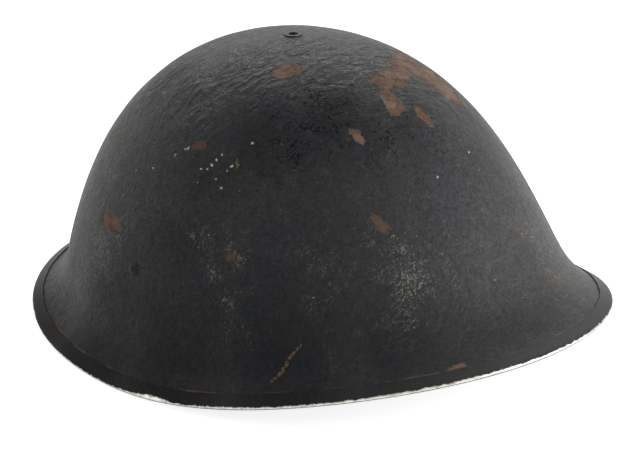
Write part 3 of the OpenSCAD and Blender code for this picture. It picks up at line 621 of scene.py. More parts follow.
def shell_paint(look):
    f = Finish("shell_paint")
    at = f.mm()
    mid, fine, peel = f.noise(at, 0.32, 9, 0.62), f.noise(at, 1.7, 6, 0.6), f.noise(at, 0.75, 3, 0.5)
    paint, rubbed = top_coat(f, at, look, mid, fine)
    cracks = f.cells(bent(f, at, 3.0), 0.42, "DISTANCE_TO_EDGE")
    torn = f.step(f.noise(at, 0.22, 5, 0.65), 0.45, 0.56)
    crack = f.step(cracks, 0.02, 0.16, 1.0, 0.0) * torn * f.field("crackle")
    paint = f.mix(crack * 0.85, paint, (0.001, 0.001, 0.001))
    paint, worn, spoiled = chips_in(f, at, look, mid, fine, paint)
    # Relief in millimetres: brushed waves, orange peel, fine grain, cracks and the step into the chips
    waves = f.noise(f.mm(scale=(0.45, 1, 0.6), turn=(0, 0, 40)), 0.13, 2, 0.5, 1.6)
    fold = f.step(abs(f.noise(at, 0.16, 3, 0.6, 1.4) - 0.5), 0.0, 0.05, 1.0, 0.0)
    height = (waves * 8.5 + fold * 1.1) * (f.field("wrinkle") * look.relief)
    grain = f.step(f.field("haze"), 0.0, 0.9, 0.6, 1.2) * look.relief
    for lumps, share in ((mid, 0.8), (peel, 0.3), (fine, 0.14)):
        height = height + lumps * (grain * share)
    height = height - crack * 0.16 - worn * 0.25
    rough = f.step(mid, 0.3, 0.7, look.gloss, look.gloss + 0.16, soft=False)
    matt = f.math("MAXIMUM", f.math("MAXIMUM", worn, spoiled), rubbed * 0.6)
    mirror = f.step(peel, 0.3, 0.68, 0.7, 1.3) * look.specular
    mirror = mirror * (1.0 - f.field("dull") * 0.7) * (1.0 - crack * 0.9)
    return f.surface(Base_Color=paint, Roughness=rough + matt * 0.22, Normal=f.bump(height),
                     Specular_IOR_Level=mirror)


def strip_paint(look):
    """Paint that has rubbed off the lowest part of the strip's fold down to bare steel."""
    f = Finish("strip_paint")
    at = f.mm()
    mid, fine = f.noise(at, 0.4, 8, 0.62), f.noise(at, 2.2, 5)
    bare = f.field("bare") + (mid - 0.5) * 2.0 + (fine - 0.5) * 0.7
    metal = f.step(bare, -0.06, 0.1)
    paint = f.mix(f.step(mid, 0.35, 0.68), times(look.warm, 0.45), times(look.cool, 0.5))
    paint = f.mix(f.step(fine, 0.56, 0.68, 0.0, 0.2), paint, look.rubbed)
    streaks = f.noise(f.mm(scale=(0.3, 0.3, 1.4)), 1.0, 5, 0.6)
    steel = f.mix(f.step(streaks, 0.4, 0.68), (0.74, 0.72, 0.68), (0.46, 0.43, 0.39))
    steel = f.mix(f.step(f.noise(at, 0.22, 5, 0.7), 0.56, 0.68, 0.0, 0.8), steel, (0.10, 0.08, 0.065))
    steel = f.mix(f.step(bare, 0.0, 0.9, 0.6, 0.0), steel, (0.24, 0.22, 0.20))
    steel = f.mix(f.step(f.field("rise"), 0.7, 1.2, 0.85, 0.0), steel, (0.10, 0.09, 0.085))
    height = mid * 0.16 + metal * -0.08
    mirror = f.step(f.field("dull"), 0.0, 0.9, 1.3, 0.3) * look.specular
    return f.surface(Base_Color=f.mix(metal, paint, steel), Metallic=metal * 0.85,
                     Roughness=f.step(metal, 0, 1, 0.5, 0.34, soft=False), Normal=f.bump(height),
                     Specular_IOR_Level=mirror)


def fitting_paint(look):
    """The same paint on the rivets and bush, rubbed where they stand proud."""
    f = Finish("fitting_paint")
    at = f.mm()
    mid = f.noise(at, 1.1, 7, 0.62)
    worn = f.step((f.proud() - 0.5) * 4.0 + mid, 0.64, 0.76)
    paint = f.mix(f.step(mid, 0.35, 0.7), times(look.warm, 0.6), times(look.cool, 0.7))
    rust = f.mix(f.step(mid, 0.56, 0.66), times(look.primer, 0.6), times(look.rubbed, 0.7))
    return f.surface(Base_Color=f.mix(worn, paint, rust), Metallic=worn * 0.2,
                     Roughness=f.step(worn, 0, 1, 0.4, 0.6, soft=False), Normal=f.bump(mid * 0.12),
                     Specular_IOR_Level=look.specular * 0.7)


def bare_metal(name, light, dark, rust, roughness, grain):
    """Old unpainted metal with tarnish in patches and a drawn or rolled grain."""
    f = Finish(name)
    at = f.mm()
    mid, fine = f.noise(at, 0.5, 8, 0.65), f.noise(f.mm(scale=grain), 1.0, 4)
    colour = f.mix(f.step(mid, 0.38, 0.64), light, dark)
    tarnish = f.step(f.noise(at, 0.2, 7, 0.7), 0.52, 0.64)
    colour = f.mix(tarnish * 0.8, colour, rust)
    rough = f.step(fine, 0.3, 0.7, roughness - 0.08, roughness + 0.08, soft=False) + tarnish * 0.25
    height = fine * 0.025 + tarnish * 0.03
    return f.surface(Base_Color=colour, Metallic=1.0 - tarnish * 0.6, Roughness=rough, Normal=f.bump(height))


def webbing(look):
    """Herringbone cotton webbing, woven along its own length."""
    f = Finish("webbing")
    along, across = f.field("along"), f.field("across")
    leg = f.math("PINGPONG", across, 2.4)
    rib = f.math("SINE", (along * 1.25 + leg * 1.1) * 4.4)
    yarn = f.math("SINE", across * 9.5)
    at = f.mm()
    slub, grime = f.noise(at, 3.0, 4, 0.6), f.noise(at, 0.09, 5, 0.6)
    colour = f.mix(f.step(rib, -0.6, 0.9), times(look.webbing, 0.55), look.webbing)
    colour = f.mix(f.step(slub, 0.4, 0.7, 0.0, 0.45), colour, times(look.webbing, 1.35))
    colour = f.mix(f.step(grime, 0.48, 0.7, 0.0, 0.6), colour, (0.07, 0.055, 0.035))
    colour = f.mix(f.step(abs(across), 8.6, 9.4, 0.0, 0.55), colour, (0.05, 0.042, 0.03))
    height = rib * 0.085 + yarn * 0.03 + slub * 0.08
    return f.surface(Base_Color=colour, Roughness=0.92, Normal=f.bump(height), Sheen_Weight=0.25,
                     Sheen_Roughness=0.6)


def brown_fibre(look):
    """Pressed fibre sheet: hard, fibrous and rubbed pale along its edges."""
    f = Finish("brown_fibre")
    at = f.mm()
    threads = f.noise(f.mm(scale=(0.25, 0.25, 2.2)), 1.0, 6, 0.65, 0.8)
    mid = f.noise(at, 0.15, 6, 0.6)
    colour = f.mix(f.step(threads, 0.35, 0.7), times(look.fibre, 0.6), times(look.fibre, 1.25))
    colour = f.mix(f.step(mid, 0.42, 0.68, 0.0, 0.7), colour, times(look.fibre, 0.42))
    colour = f.mix(f.step(f.proud(), 0.53, 0.62) * 0.7, colour, times(look.fibre, 2.4))
    return f.surface(Base_Color=colour, Roughness=f.step(threads, 0.3, 0.7, 0.42, 0.6, soft=False),
                     Normal=f.bump(threads * 0.12))


def oilcloth(look):
    """Coated cotton cloth: a fine plain weave under a creased, worn skin."""
    f = Finish("oilcloth")
    at = f.mm()
    weave = f.math("SINE", f.field("across") * 7.0) * f.math("SINE", f.field("along") * 7.0)
    crease = f.step(abs(f.noise(at, 0.13, 5, 0.6, 0.5) - 0.5), 0.0, 0.03, 1.0, 0.0)
    mid = f.noise(at, 0.4, 7, 0.6)
    colour = f.mix(f.step(mid, 0.35, 0.7), look.oilcloth, times(look.oilcloth, 1.7))
    colour = f.mix(crease * 0.55, colour, (0.11, 0.085, 0.055))
    height = weave * 0.03 + crease * -0.12 + mid * 0.12
    return f.surface(Base_Color=colour, Roughness=f.step(mid, 0.3, 0.7, 0.32, 0.55, soft=False),
                     Normal=f.bump(height))


def lace_cord(look):
    f = Finish("lace_cord")
    along, round_it = f.field("along"), f.field("across")
    twist = f.math("SINE", along * 3.4 + round_it)
    dirt = f.noise(f.mm(), 0.3, 6, 0.6)
    colour = f.mix(f.step(twist, -0.7, 0.8), times(look.webbing, 0.6), times(look.webbing, 1.5))
    colour = f.mix(f.step(dirt, 0.45, 0.7, 0.0, 0.6), colour, (0.06, 0.045, 0.03))
    return f.surface(Base_Color=colour, Roughness=0.88, Normal=f.bump(twist * 0.18), Sheen_Weight=0.2)


def rubber(name, dark, light, cell_mm, cell_relief, roughness):
    """Aged rubber with pores or moulded grain and a chalky bloom."""
    f = Finish(name)
    at = f.mm()
    pores = f.step(f.cells(at, 1 / cell_mm), 0.0, 0.45)
    bloom = f.noise(at, 0.12, 6, 0.62)
    colour = f.mix(pores, times(dark, 0.4), dark)
    colour = f.mix(f.step(bloom, 0.45, 0.68, 0.0, 0.8), colour, light)
    height = pores * cell_relief + bloom * 0.1
    return f.surface(Base_Color=colour, Roughness=roughness, Normal=f.bump(height))


# The pieces
def uneven(points, size_mm, seed):
    """A smooth field from about -1 to 1 with waves of the given size."""
    turns = np.random.default_rng(seed)
    total = np.zeros(len(points))
    for _ in range(6):
        way = turns.normal(size=3)
        way *= 2 * np.pi / (size_mm * turns.uniform(0.7, 1.5)) / np.linalg.norm(way)
        total += np.sin(points @ way + turns.uniform(0, 2 * np.pi))
    return total / 3.2


def round_the_shell(u):
    """Azimuth in radians for u from 0 to 1, with closer columns on the side that shows most wear."""
    seen_from, seen_to, seen_share = math.radians(-52), math.radians(142), 0.74
    hidden = 2 * np.pi - (seen_to - seen_from)
    return np.where(u <= seen_share, seen_from + (seen_to - seen_from) * u / seen_share,
                    seen_to + hidden * (u - seen_share) / (1 - seen_share))


def shell_surface(look):
    outer_rows, inner_rows, columns = look.rows, 44, look.columns
    rows = outer_rows + inner_rows
    last = rows + 1

    def shape(u, v):
        a, row = round_the_shell(u), np.round(v * last)
        outer = row < outer_rows
        share = np.where(outer, row / (outer_rows - 1), (rows - 1 - row) / (inner_rows - 1))
        bore_s = (BUSH_D / 2 + RUN) / (3 * oval(a, WALL_R) * CROWN_BREADTH)
        s = bore_s + (2 - bore_s) * np.clip(share, 0, 1)
        base = skin(a, s)
        p = np.where(outer[:, None], base, skin(a, s, -SHELL_T))
        p = np.where((row >= rows)[:, None], skin(a, bore_s), p)
        normal = skin(a, s, 1.0) - base
        shift = np.zeros(len(a))
        for deg, at, reach, deep in DENTS:
            d = np.linalg.norm(base - place(deg, at), axis=1) / reach
            shift -= deep * np.exp(-d * d)
        # No waves near the bore and under the strip
        calm = np.clip((s - 3 * bore_s) / 0.15, 0, 1) * np.clip((1.93 - s) / 0.25, 0, 1)
        shift += look.unevenness * (uneven(base, 62, 3) * 0.6 + uneven(base, 27, 5) * 0.4) * calm
        return p + normal * shift[:, None] * (calm > 0)[:, None]

    obj = bent_grid("shell_skin", columns, last, shape)
    weld(obj, 4e-6)
    return obj


def mark_the_paint(obj):
    p = points_of(obj) / MM
    a = np.arctan2(p[:, 1] - lean(p[:, 2] - LIFT) - CROWN_Y, p[:, 0])
    lower = skin(a, s_from_edge(a, STRIP_W))
    attribute(obj, "line", np.linalg.norm(p - lower, axis=1))
    attribute(obj, "chip", np.max([patch_depth(p, o) for o in CHIPS.values()], axis=0))
    attribute(obj, "spot", np.max([patch_depth(p, o) for o in WORN_SPOTS.values()], axis=0))
    attribute(obj, "scratch", np.max([line_depth(p, l, w) for l, w in SCRATCHES], axis=0))
    for name, blobs in FIELDS.items():
        attribute(obj, name, blob_field(p, blobs))


def strip_surface():
    columns, legs, turns = 420, 7, np.radians(np.linspace(12, 168, 9))
    out = SEAT + STRIP_T
    profile_n = 2 * (2 * legs + len(turns))

    def side(a, offset, fold_r, flip):
        """One face of the strip at azimuth a, from its upper edge round the fold to its inner edge."""
        ragged = STRIP_W + 0.22 * np.sin(9 * a + 1) + 0.15 * np.sin(31 * a) + 0.1 * np.sin(77 * a + 2)
        s0 = s_from_edge(a, ragged)
        upper = [skin(a, s0 + (2 - s0) * k / legs, offset) for k in range(legs)]
        lower = [skin(a, s0 + (2 - s0) * k / legs, -SHELL_T - offset) for k in reversed(range(legs))]
        ring = upper + [stand(a, *fold_rz(a, fold_r, turn)) for turn in turns] + lower
        return ring[::-1] if flip else ring

    def shape(u, v):
        a = math.pi + u * 2 * np.pi
        k = np.round(v * profile_n).astype(int) % profile_n
        faces = side(a, out, RIM_FOLD_R, False) + side(a, SEAT, RIM_FOLD_R - STRIP_T, True)
        faces = np.stack(faces, 1)
        return faces[np.arange(len(a)), k]

    obj = bent_grid("rim_strip_steel", columns, profile_n, shape)
    weld(obj, 4e-6)
    return obj


# How high the bare steel reaches up the fold: degrees round, and millimetres above
# the fold's lowest line
BARE_STOPS = [(-180, 0.9), (-75, 1.0), (-52, 1.6), (-40, 2.1), (-33, 1.3), (-15, 1.4), (0, 1.35), (6, 1.8),
              (13, 2.7), (17, 1.5), (30, 1.75), (50, 1.85), (62, 2.0), (75, 2.05), (95, 1.95), (108, 1.85),
              (118, 1.5), (135, 1.0), (180, 0.9)]


def mark_the_strip(obj):
    p = points_of(obj) / MM
    a = np.arctan2(p[:, 1] - SET_BACK - CROWN_Y, p[:, 0])
    rise = p[:, 2] - skin(a, np.full_like(a, 2.0), -SHELL_T / 2)[:, 2] + RIM_FOLD_R
    degs, reach = np.array(BARE_STOPS).T
    attribute(obj, "rise", rise)
    attribute(obj, "bare", np.interp(np.degrees(a), degs, reach) - rise)
    attribute(obj, "dull", blob_field(p, FIELDS["dull"]))


def marked_grid(name, across, along, shape):
    """A bent grid whose shape also gives each point's run along and across the piece, as attributes."""
    kept = {}

    def placed(u, v):
        points, kept["along"], kept["across"] = shape(u, v)
        return points

    obj = bent_grid(name, across, along, placed)
    for key, values in kept.items():
        attribute(obj, key, values)
    return obj


def swept(name, centres, side, up, section, ring=False):
    """A section carried along a path. Side and up are the section's two directions at each point."""
    section, length = np.asarray(section, float), len(centres)
    around, steps = len(section), length if ring else length - 1
    run = run_along(centres)

    def shape(u, v):
        j, i = nearest(u, around) % around, nearest(v, steps) % length
        return centres[i] + side[i] * section[j, :1] + up[i] * section[j, 1:], run[i], section[j, 0]

    obj = marked_grid(name, around, steps, shape)
    weld(obj, 1e-6)
    if not ring:
        in_edit(obj, lambda: bpy.ops.mesh.fill_holes(sides=0), face_outward)
    return obj


def nearest(share, steps):
    return np.round(share * steps).astype(int)


def run_along(points):
    """The distance from the first point along a row of them."""
    return np.append(0, np.cumsum(np.linalg.norm(np.diff(points, axis=0), axis=1)))


def frames_along(path, across, ring=False):
    """The section's directions along a path: its width near the given one, and its thickness."""
    along = unit(np.roll(path, -1, 0) - np.roll(path, 1, 0)) if ring else unit(np.gradient(path, axis=0))
    thick = unit(np.cross(along, across))
    return unit(np.cross(thick, along)), thick


# The chin strap, in millimetres and degrees. Each lug hangs from the side rivet,
# the strap's loop swings in it, and the strap is put away round the front wall.
RIVET_H, LUG_GAP, LUG_T, LUG_DROP, STOW_DEG = 50.3, 1.3, 0.9, 10.0, 72.0
LOOP_WIRE_D, LOOP_H, LOOP_TILT_DEG = 2.6, 16.0, 20.0
WEB_W, WEB_T, FOLD_BACK, WALL_ROOM, GROUND_ROOM = 19.0, 1.8, 24.0, 4.0, 1.0
BUCKLE_WIRE_D, FOLD_DEG, MIDDLE_DEG, ROUTE_SPANS = 2.4, -68.0, -88.0, 4
RUN_X = (WEB_T + SEAT) / 2
STRAP_Z = WEB_W / 2 + GROUND_ROOM + BUCKLE_WIRE_D
UP = np.array([0, 0, 1.0])


def turned(axis, degrees):
    return np.array(Matrix.Rotation(math.radians(degrees), 3, axis))


def unit(v):
    return v / np.maximum(np.linalg.norm(v, axis=-1, keepdims=True), 1e-12)


def left_loop():
    """The middle of the left loop's lower wire, and its three directions."""
    side = np.zeros(1)
    s = s_at_height(side, RIVET_H)
    nr, nz = skin_normal(side, s)
    hung = turned("Y", -math.degrees(math.atan2(nz[0], nr[0]))) @ turned("X", -STOW_DEG)
    tilted = hung @ turned("Y", LOOP_TILT_DEG)
    eye_x = -SHELL_T - LUG_GAP - LUG_T - LOOP_WIRE_D / 2 - RUN
    at = skin(side, s)[0] + hung @ [eye_x, 0, -LUG_DROP] + tilted @ [0, 0, -LOOP_H]
    return at, *tilted.T


def beside_wall(degrees_round, z):
    """Where the webbing stands inside the wall with its middle at height z."""
    a = np.radians([degrees_round])
    s = s_at_height(a, z + WEB_W / 2 - LIFT)
    (r, h), (nr, nz) = skin_rz(a, s), skin_normal(a, s)
    x, y, _ = stand(a, r - SHELL_T * nr - WALL_ROOM - WEB_T / 2, h - SHELL_T * nz)[0]
    return np.array([x, y, z])


LOOP_AT, LOOP_X, LOOP_Y, LOOP_Z = left_loop()
ROUTE_START = LOOP_AT + LOOP_X * RUN_X - LOOP_Z * FOLD_BACK
START_DEG = math.degrees(math.atan2(ROUTE_START[1] - CROWN_Y, ROUTE_START[0]))
ALONG_WALL = [beside_wall(START_DEG * (1 - k) + FOLD_DEG * k, ROUTE_START[2] * (1 - k) + STRAP_Z * k)
              for k in np.arange(1, ROUTE_SPANS + 1) / ROUTE_SPANS]
TIP_DIR = unit(beside_wall(MIDDLE_DEG, STRAP_Z) - ALONG_WALL[-1])
TIP_AT = ALONG_WALL[-1] + TIP_DIR * FOLD_BACK
STRAP_KNOTS = np.array([ROUTE_START + LOOP_Z * FOLD_BACK * 2, ROUTE_START, *ALONG_WALL, TIP_AT])
INWARD = np.array([TIP_DIR[1], -TIP_DIR[0], 0.0])


def fold_path(wire_d):
    """Points (out, along) up one side of a wire, round it and down the other side."""
    r, taper, turn = wire_d / 2 + SOFT + WEB_T / 2, 5, math.radians(-20)
    half = [(RUN_X, -z) for z in np.linspace(FOLD_BACK, r + taper, 9)]
    for k in (0.25, 0.5, 0.75):
        spread, low = k * k * (3 - 2 * k), -r - taper
        half.append((RUN_X + (r * math.cos(turn) - RUN_X) * spread, low + (r * math.sin(turn) - low) * k))
    half += [(r * math.cos(t), r * math.sin(t)) for t in np.radians(np.arange(-20, 80, 9.0))]
    return np.array([(-x, z) for x, z in half] + [(0, r)] + half[::-1])


def through(p, t):
    """A smooth curve between the middle two of four points."""
    return 0.5 * (2 * p[1] + (p[2] - p[0]) * t + (2 * p[0] - 5 * p[1] + 4 * p[2] - p[3]) * t**2
                  + (3 * p[1] - p[0] - 3 * p[2] + p[3]) * t**3)


def strap_path(folded):
    start = [LOOP_AT + LOOP_X * x + LOOP_Z * z for x, z in fold_path(LOOP_WIRE_D)]
    way = [through(STRAP_KNOTS[i:i + 4], t) for i in range(ROUTE_SPANS) for t in np.arange(1, 13) / 12]
    if folded:
        tail = [TIP_AT + TIP_DIR * z + INWARD * (RUN_X - x) for x, z in fold_path(BUCKLE_WIRE_D)[-2::-1]]
    else:
        tail = [TIP_AT - TIP_DIR * z for z in (16, 8, 0)]
    path = np.array(start + way + tail)
    k = np.clip((np.arange(len(path)) - len(start) + 1) / len(way), 0, 1)[:, None]
    return path, unit(LOOP_Y * (1 - k) - UP * k)


def web_section():
    """The webbing's section: flat faces between round selvedges that stand slightly proud."""
    half_w, half_t = WEB_W / 2, WEB_T / 2
    left = [(-half_w + 0.25, half_t * 0.62), (-half_w + 0.9, half_t)]
    inner = [(x, half_t - 0.07) for x in np.linspace(-half_w + 2, half_w - 2, 9)]
    upper = left + inner + [(-x, z) for x, z in reversed(left)]
    return [(-half_w, 0)] + upper + [(half_w, 0)] + [(x, -z) for x, z in reversed(upper)]


def webbing_half(name, folded, mirrored):
    path, across = strap_path(folded)
    if mirrored:
        path, across = path * [-1, 1, 1], across * [-1, 1, 1]
    side, thick = frames_along(path, across)
    obj = swept(name, path, side, thick, web_section())
    smooth(obj, 50)
    return obj


def stitches(name, places):
    """Thread stitches, each at a point with the direction that it lies in."""
    length, thick = 2.3, 0.55
    bpy.ops.mesh.primitive_uv_sphere_add(segments=8, ring_count=6, radius=1)
    first = bpy.context.object
    shape = points_of(first) * [length / 2, thick / 2, thick / 2]
    first.name = name
    made = []
    for at, way in places:
        way = unit(np.asarray(way, float))
        side = unit(np.cross(way, [0.31, 0.22, 0.92]))
        turn = np.stack([way, side, np.cross(way, side)])
        copy = first.copy()
        copy.data = first.data.copy()
        bpy.context.scene.collection.objects.link(copy)
        move_points(copy, shape @ turn + at)
        made.append(copy)
    bpy.data.objects.remove(first)
    obj = joined(*made)
    obj.name = obj.data.name = name
    smooth(obj, 60)
    return obj


def box_stitch(place_on, face_way):
    """A sewn box with a cross in it: points (width, length) laid on a face by place_on."""
    corners = np.array([(-7, -21.5), (7, -21.5), (7, -10.5), (-7, -10.5)])
    pitch = 2.9
    places = []
    for i, j in ((0, 1), (1, 2), (2, 3), (3, 0), (0, 2), (1, 3)):
        a, b = corners[i], corners[j]
        count = max(int(np.linalg.norm(b - a) / pitch), 1)
        for k in range(count):
            t = (k + 0.5) / count
            y, z = a + (b - a) * t
            at, ahead = place_on(y, z), place_on(*(a + (b - a) * (t + 0.01)))
            places.append((at + face_way, ahead - at))
    return places


# The liner's oval, in millimetres: half its width and length, its middle, top and thickness
BAND_W, BAND_L = WALL_R[1] - 32.5, (WALL_R[0] + WALL_R[2]) / 2 - 18.0
BAND_Y = CROWN_Y + (WALL_R[2] - WALL_R[0]) / 2 + 5.0
BAND_TOP, FIBRE_T = 60.0, 1.6


def sweatband_surface():
    """The folded strip: a closed section (distance out from the band, height) carried round its oval."""
    section = np.array([
        (-3.0, 51.2), (-3.3, 51.9), (-4.0, 52.0), (-4.7, 51.6), (-4.9, 50.4), (-4.8, 49.6), (-5.0, 48.8),
        (-5.4, 45), (-5.5, 41), (-5.4, 37), (-5.1, 33.5), (-4.6, 31.3), (-3.4, 30.0), (-1.6, 29.6),
        (0.4, 29.6), (1.7, 30.2), (2.3, 31.4), (2.4, 33.6), (2.3, 35.8), (1.9, 36.7), (1.1, 36.8),
        (0.6, 36.2), (0.5, 34), (0.5, 32.4), (0.1, 31.7), (-1.2, 31.5), (-2.4, 31.7), (-2.9, 32.8),
        (-3.0, 38), (-3.0, 45)])
    n, count, run = len(section), 300, run_along(section)

    def shape(u, v):
        a, j = nearest(u, count) % count * 2 * np.pi / count, nearest(v, n) % n
        out, z = section[j].T
        ripple = 0.35 * np.sin(9 * a + 0.6) * np.sin(z * 0.35) + 0.22 * np.sin(23 * a + z * 0.2)
        out = out + np.clip(-out - 4.3, 0, 1) * ripple
        points = np.stack([(BAND_W + out) * np.cos(a), (BAND_L + out) * np.sin(a) + BAND_Y, z], 1)
        return points, a * (BAND_W + BAND_L) / 2, run[j]

    obj = marked_grid("sweatband_oilcloth", count, n, shape)
    weld(obj, 1e-6)
    smooth(obj, 60)
    return obj


# The tongues: the same turned domes as in the fixed frame, and the lace that gathers them
TONGUES, TONGUE_HALF, TONGUE_Z, TONGUE_RISE, TONGUE_PULL = 6, math.radians(27), BAND_TOP - 5.0, 26.0, 0.72
LACE_R, LACE_D, LACE_Z, CLOTH_T, EYELET_R = 24.0, 2.6, SHELL_H + LIFT - 29.0, 1.0, 2.0
END_TONGUES, TONGUE_FLAT = (1, 4), 14.0
TONGUE_INSET = FIBRE_T + 2 * SOFT + CLOTH_T / 2


def way_at(a):
    return np.array([math.cos(a), math.sin(a)])


def tongue_foot(a):
    return way_at(a) / np.linalg.norm(way_at(a) / [BAND_W - TONGUE_INSET, BAND_L - TONGUE_INSET])


def tongue_middle(mid):
    """The middle of the circle through three places on a tongue's foot."""
    p, q, r = (tongue_foot(mid + side * TONGUE_HALF) for side in (-1, 0, 1))
    a, b = q - p, r - p
    d = 2 * (a[0] * b[1] - a[1] * b[0])
    return p + np.array([b[1] * (a @ a) - a[1] * (b @ b), a[0] * (b @ b) - b[0] * (a @ a)]) / d


def tongue_line(mid, turn, c, count):
    """Points up one line of a tongue, from its foot to its round end."""
    out, way = way_at(mid), way_at(mid + turn)
    tip = LACE_R - LACE_D / 2
    big = tip * math.sin(TONGUE_HALF) / (1 - math.sin(TONGUE_HALF))
    r0 = np.linalg.norm(tongue_foot(mid) - c)
    r_end = max(tip - c @ out, TONGUE_FLAT)
    foot = np.linalg.norm(tongue_foot(mid))
    t = np.linspace(0, 1, 80)
    r = bezier([r0, r0, r0 - (1 - TONGUE_PULL) * foot, r_end], t)
    z = bezier([TONGUE_Z, TONGUE_Z + TONGUE_RISE, LACE_Z, LACE_Z], t)
    near = way @ c
    reach = near + np.sqrt(np.maximum(near**2 - c @ c + r**2, 0))
    inner = (tip + big) * math.cos(turn) - math.sqrt(max(big**2 - ((tip + big) * math.sin(turn)) ** 2, 0))
    stop = np.argmax(reach < inner) if (reach < inner).any() else len(reach)
    reach, z = np.append(reach[:stop], inner), np.append(z[:stop], np.interp(-inner, -reach, z))
    run = run_along(np.stack([reach, z], 1))
    even = np.linspace(0, run[-1], count)
    reach, z = np.interp(even, run, reach), np.interp(even, run, z)
    return np.stack([way[0] * reach, way[1] * reach + BAND_Y, z], 1), even


def tongue_sheet(k):
    """One tongue, and how far out its eyelet lies."""
    columns, rows = 22, 34
    mid = (k + 0.5) * 2 * math.pi / TONGUES
    c = tongue_middle(mid)
    # Closer columns near the two edges
    quarter = math.pi / 2 * 0.98
    turns = TONGUE_HALF * np.sin(np.linspace(-quarter, quarter, columns + 1)) / math.sin(quarter)
    sheet, runs = (np.array(v) for v in zip(*(tongue_line(mid, t, c, rows + 1) for t in turns)))

    def shape(u, v):
        i, j = nearest(u, columns), nearest(v, rows)
        points = sheet[i, j]
        return points, runs[i, j], turns[i] * np.linalg.norm(points[:, :2] - [0, BAND_Y], axis=1)

    obj = marked_grid("tongue_%d" % (k + 1), columns, rows, shape)
    p = points_of(obj) / MM
    p[:, 2] += 0.45 * uneven(p, 24, 11 + k) * np.clip((p[:, 2] - BAND_TOP) / 20, 0, 1)
    move_points(obj, p)
    in_edit(obj, face_outward)
    modified(obj, "SOLIDIFY", thickness=CLOTH_T * 0.9 * MM, offset=0.0, use_even_offset=True)
    at = max(c @ way_at(mid), LACE_R - LACE_D / 2 + 4 * EYELET_R)
    x, y = at * way_at(mid) + [0, BAND_Y]
    bpy.ops.mesh.primitive_cylinder_add(vertices=28, radius=EYELET_R * MM, depth=0.03,
                                        location=(x * MM, y * MM, LACE_Z * MM))
    cutter = bpy.context.object
    modified(obj, "BOOLEAN", operation="DIFFERENCE", object=cutter, solver="EXACT")
    bpy.data.objects.remove(cutter)
    smooth(obj, 40)
    return obj, at


def even_turns(count):
    return np.arange(count) * 2 * np.pi / count


def lace_path(hole_r):
    """The lace's round: over each tongue's first half, down its eyelet and out under its second half."""
    a = even_turns(240)
    local = (a * TONGUES / (2 * np.pi)) % 1 - 0.5
    between_r = LACE_R + 2.2
    r = between_r + (hole_r - between_r) * np.cos(np.pi * local) ** 2
    down, up = -np.tanh(local * 26), -np.sign(local) * np.tanh((0.5 - np.abs(local)) * 14)
    z = LACE_Z + np.where(np.abs(local) < 0.25, down, up) * ((CLOTH_T + LACE_D) / 2 + 0.15)
    return np.stack([r * np.cos(a), r * np.sin(a) + BAND_Y, z], 1)


def round_section(d):
    t = even_turns(10)
    return np.stack([np.cos(t), np.sin(t)], 1) * d / 2


def soft_block(node, name, cell_mm):
    """A moulded or foam copy of a fixed node, with its corners rounded over."""
    obj = dressed_copy(node, name)
    modified(obj, "REMESH", mode="VOXEL", voxel_size=cell_mm * MM)
    modified(obj, "SMOOTH", factor=0.5, iterations=8)
    smooth(obj, 180)
    return obj


# Settings that a user would change
class HelmetPaint(bpy.types.PropertyGroup):
    cool: FloatVectorProperty(name="Cool paint", description="Bluish parts of the black paint",
                              subtype="COLOR", default=(0.0165, 0.0175, 0.0205), min=0, max=1)
    warm: FloatVectorProperty(name="Warm paint", description="Brownish parts of the black paint",
                              subtype="COLOR", default=(0.0245, 0.023, 0.022), min=0, max=1)
    primer: FloatVectorProperty(name="Primer", description="Brown coat that shows in the chips",
                                subtype="COLOR", default=(0.125, 0.072, 0.046), min=0, max=1)
    primer_pale: FloatVectorProperty(name="Pale primer", description="Sun-bleached parts of the brown coat",
                                     subtype="COLOR", default=(0.19, 0.13, 0.098), min=0, max=1)
    rubbed: FloatVectorProperty(name="Rubbed paint", description="Pale scuffs in the top coat",
                                subtype="COLOR", default=(0.21, 0.205, 0.19), min=0, max=1)
    # Dust, and painted sheen on the walls to either side
    dust: FloatVectorProperty(name="Dust", description="Settled dust on the lower slopes",
                              subtype="COLOR", default=(0.055, 0.051, 0.046), min=0, max=1)
    specular: FloatProperty(name="Specular level", description="How much the paint mirrors", default=0.2,
                            min=0, max=1)
    relief: FloatProperty(name="Relief", description="Height of the paint's lumps, in millimetres",
                          default=0.6, min=0, max=2)
    gloss: FloatProperty(name="Paint roughness", description="Roughness of the unworn paint", default=0.4,
                         min=0, max=1, subtype="FACTOR")


class HelmetShell(bpy.types.PropertyGroup):
    columns: IntProperty(name="Columns", description="Columns of faces round the shell", default=352,
                         min=64, max=352)
    rows: IntProperty(name="Rows", description="Rows of faces from the crown to the edge", default=188,
                      min=40, max=188)
    unevenness: FloatProperty(name="Unevenness", default=0.22, min=0, max=0.5,
                              description="Height of the shallow waves in the steel, in millimetres")


class HelmetLiner(bpy.types.PropertyGroup):
    fibre: FloatVectorProperty(name="Fibre", description="Brown pressed fibre of the headband and straps",
                               subtype="COLOR", default=(0.10, 0.05, 0.025), min=0, max=1)
    oilcloth: FloatVectorProperty(name="Oilcloth", subtype="COLOR", default=(0.022, 0.019, 0.015), min=0,
                                  max=1, description="Dark coated cloth of the sweatband and tongues")
    webbing: FloatVectorProperty(name="Webbing", description="Khaki cotton of the chin strap and lace",
                                 subtype="COLOR", default=(0.23, 0.185, 0.105), min=0, max=1)
    brass: FloatVectorProperty(name="Brass", description="Buckle, strap tip and liner rivets",
                               subtype="COLOR", default=(0.50, 0.37, 0.17), min=0, max=1)


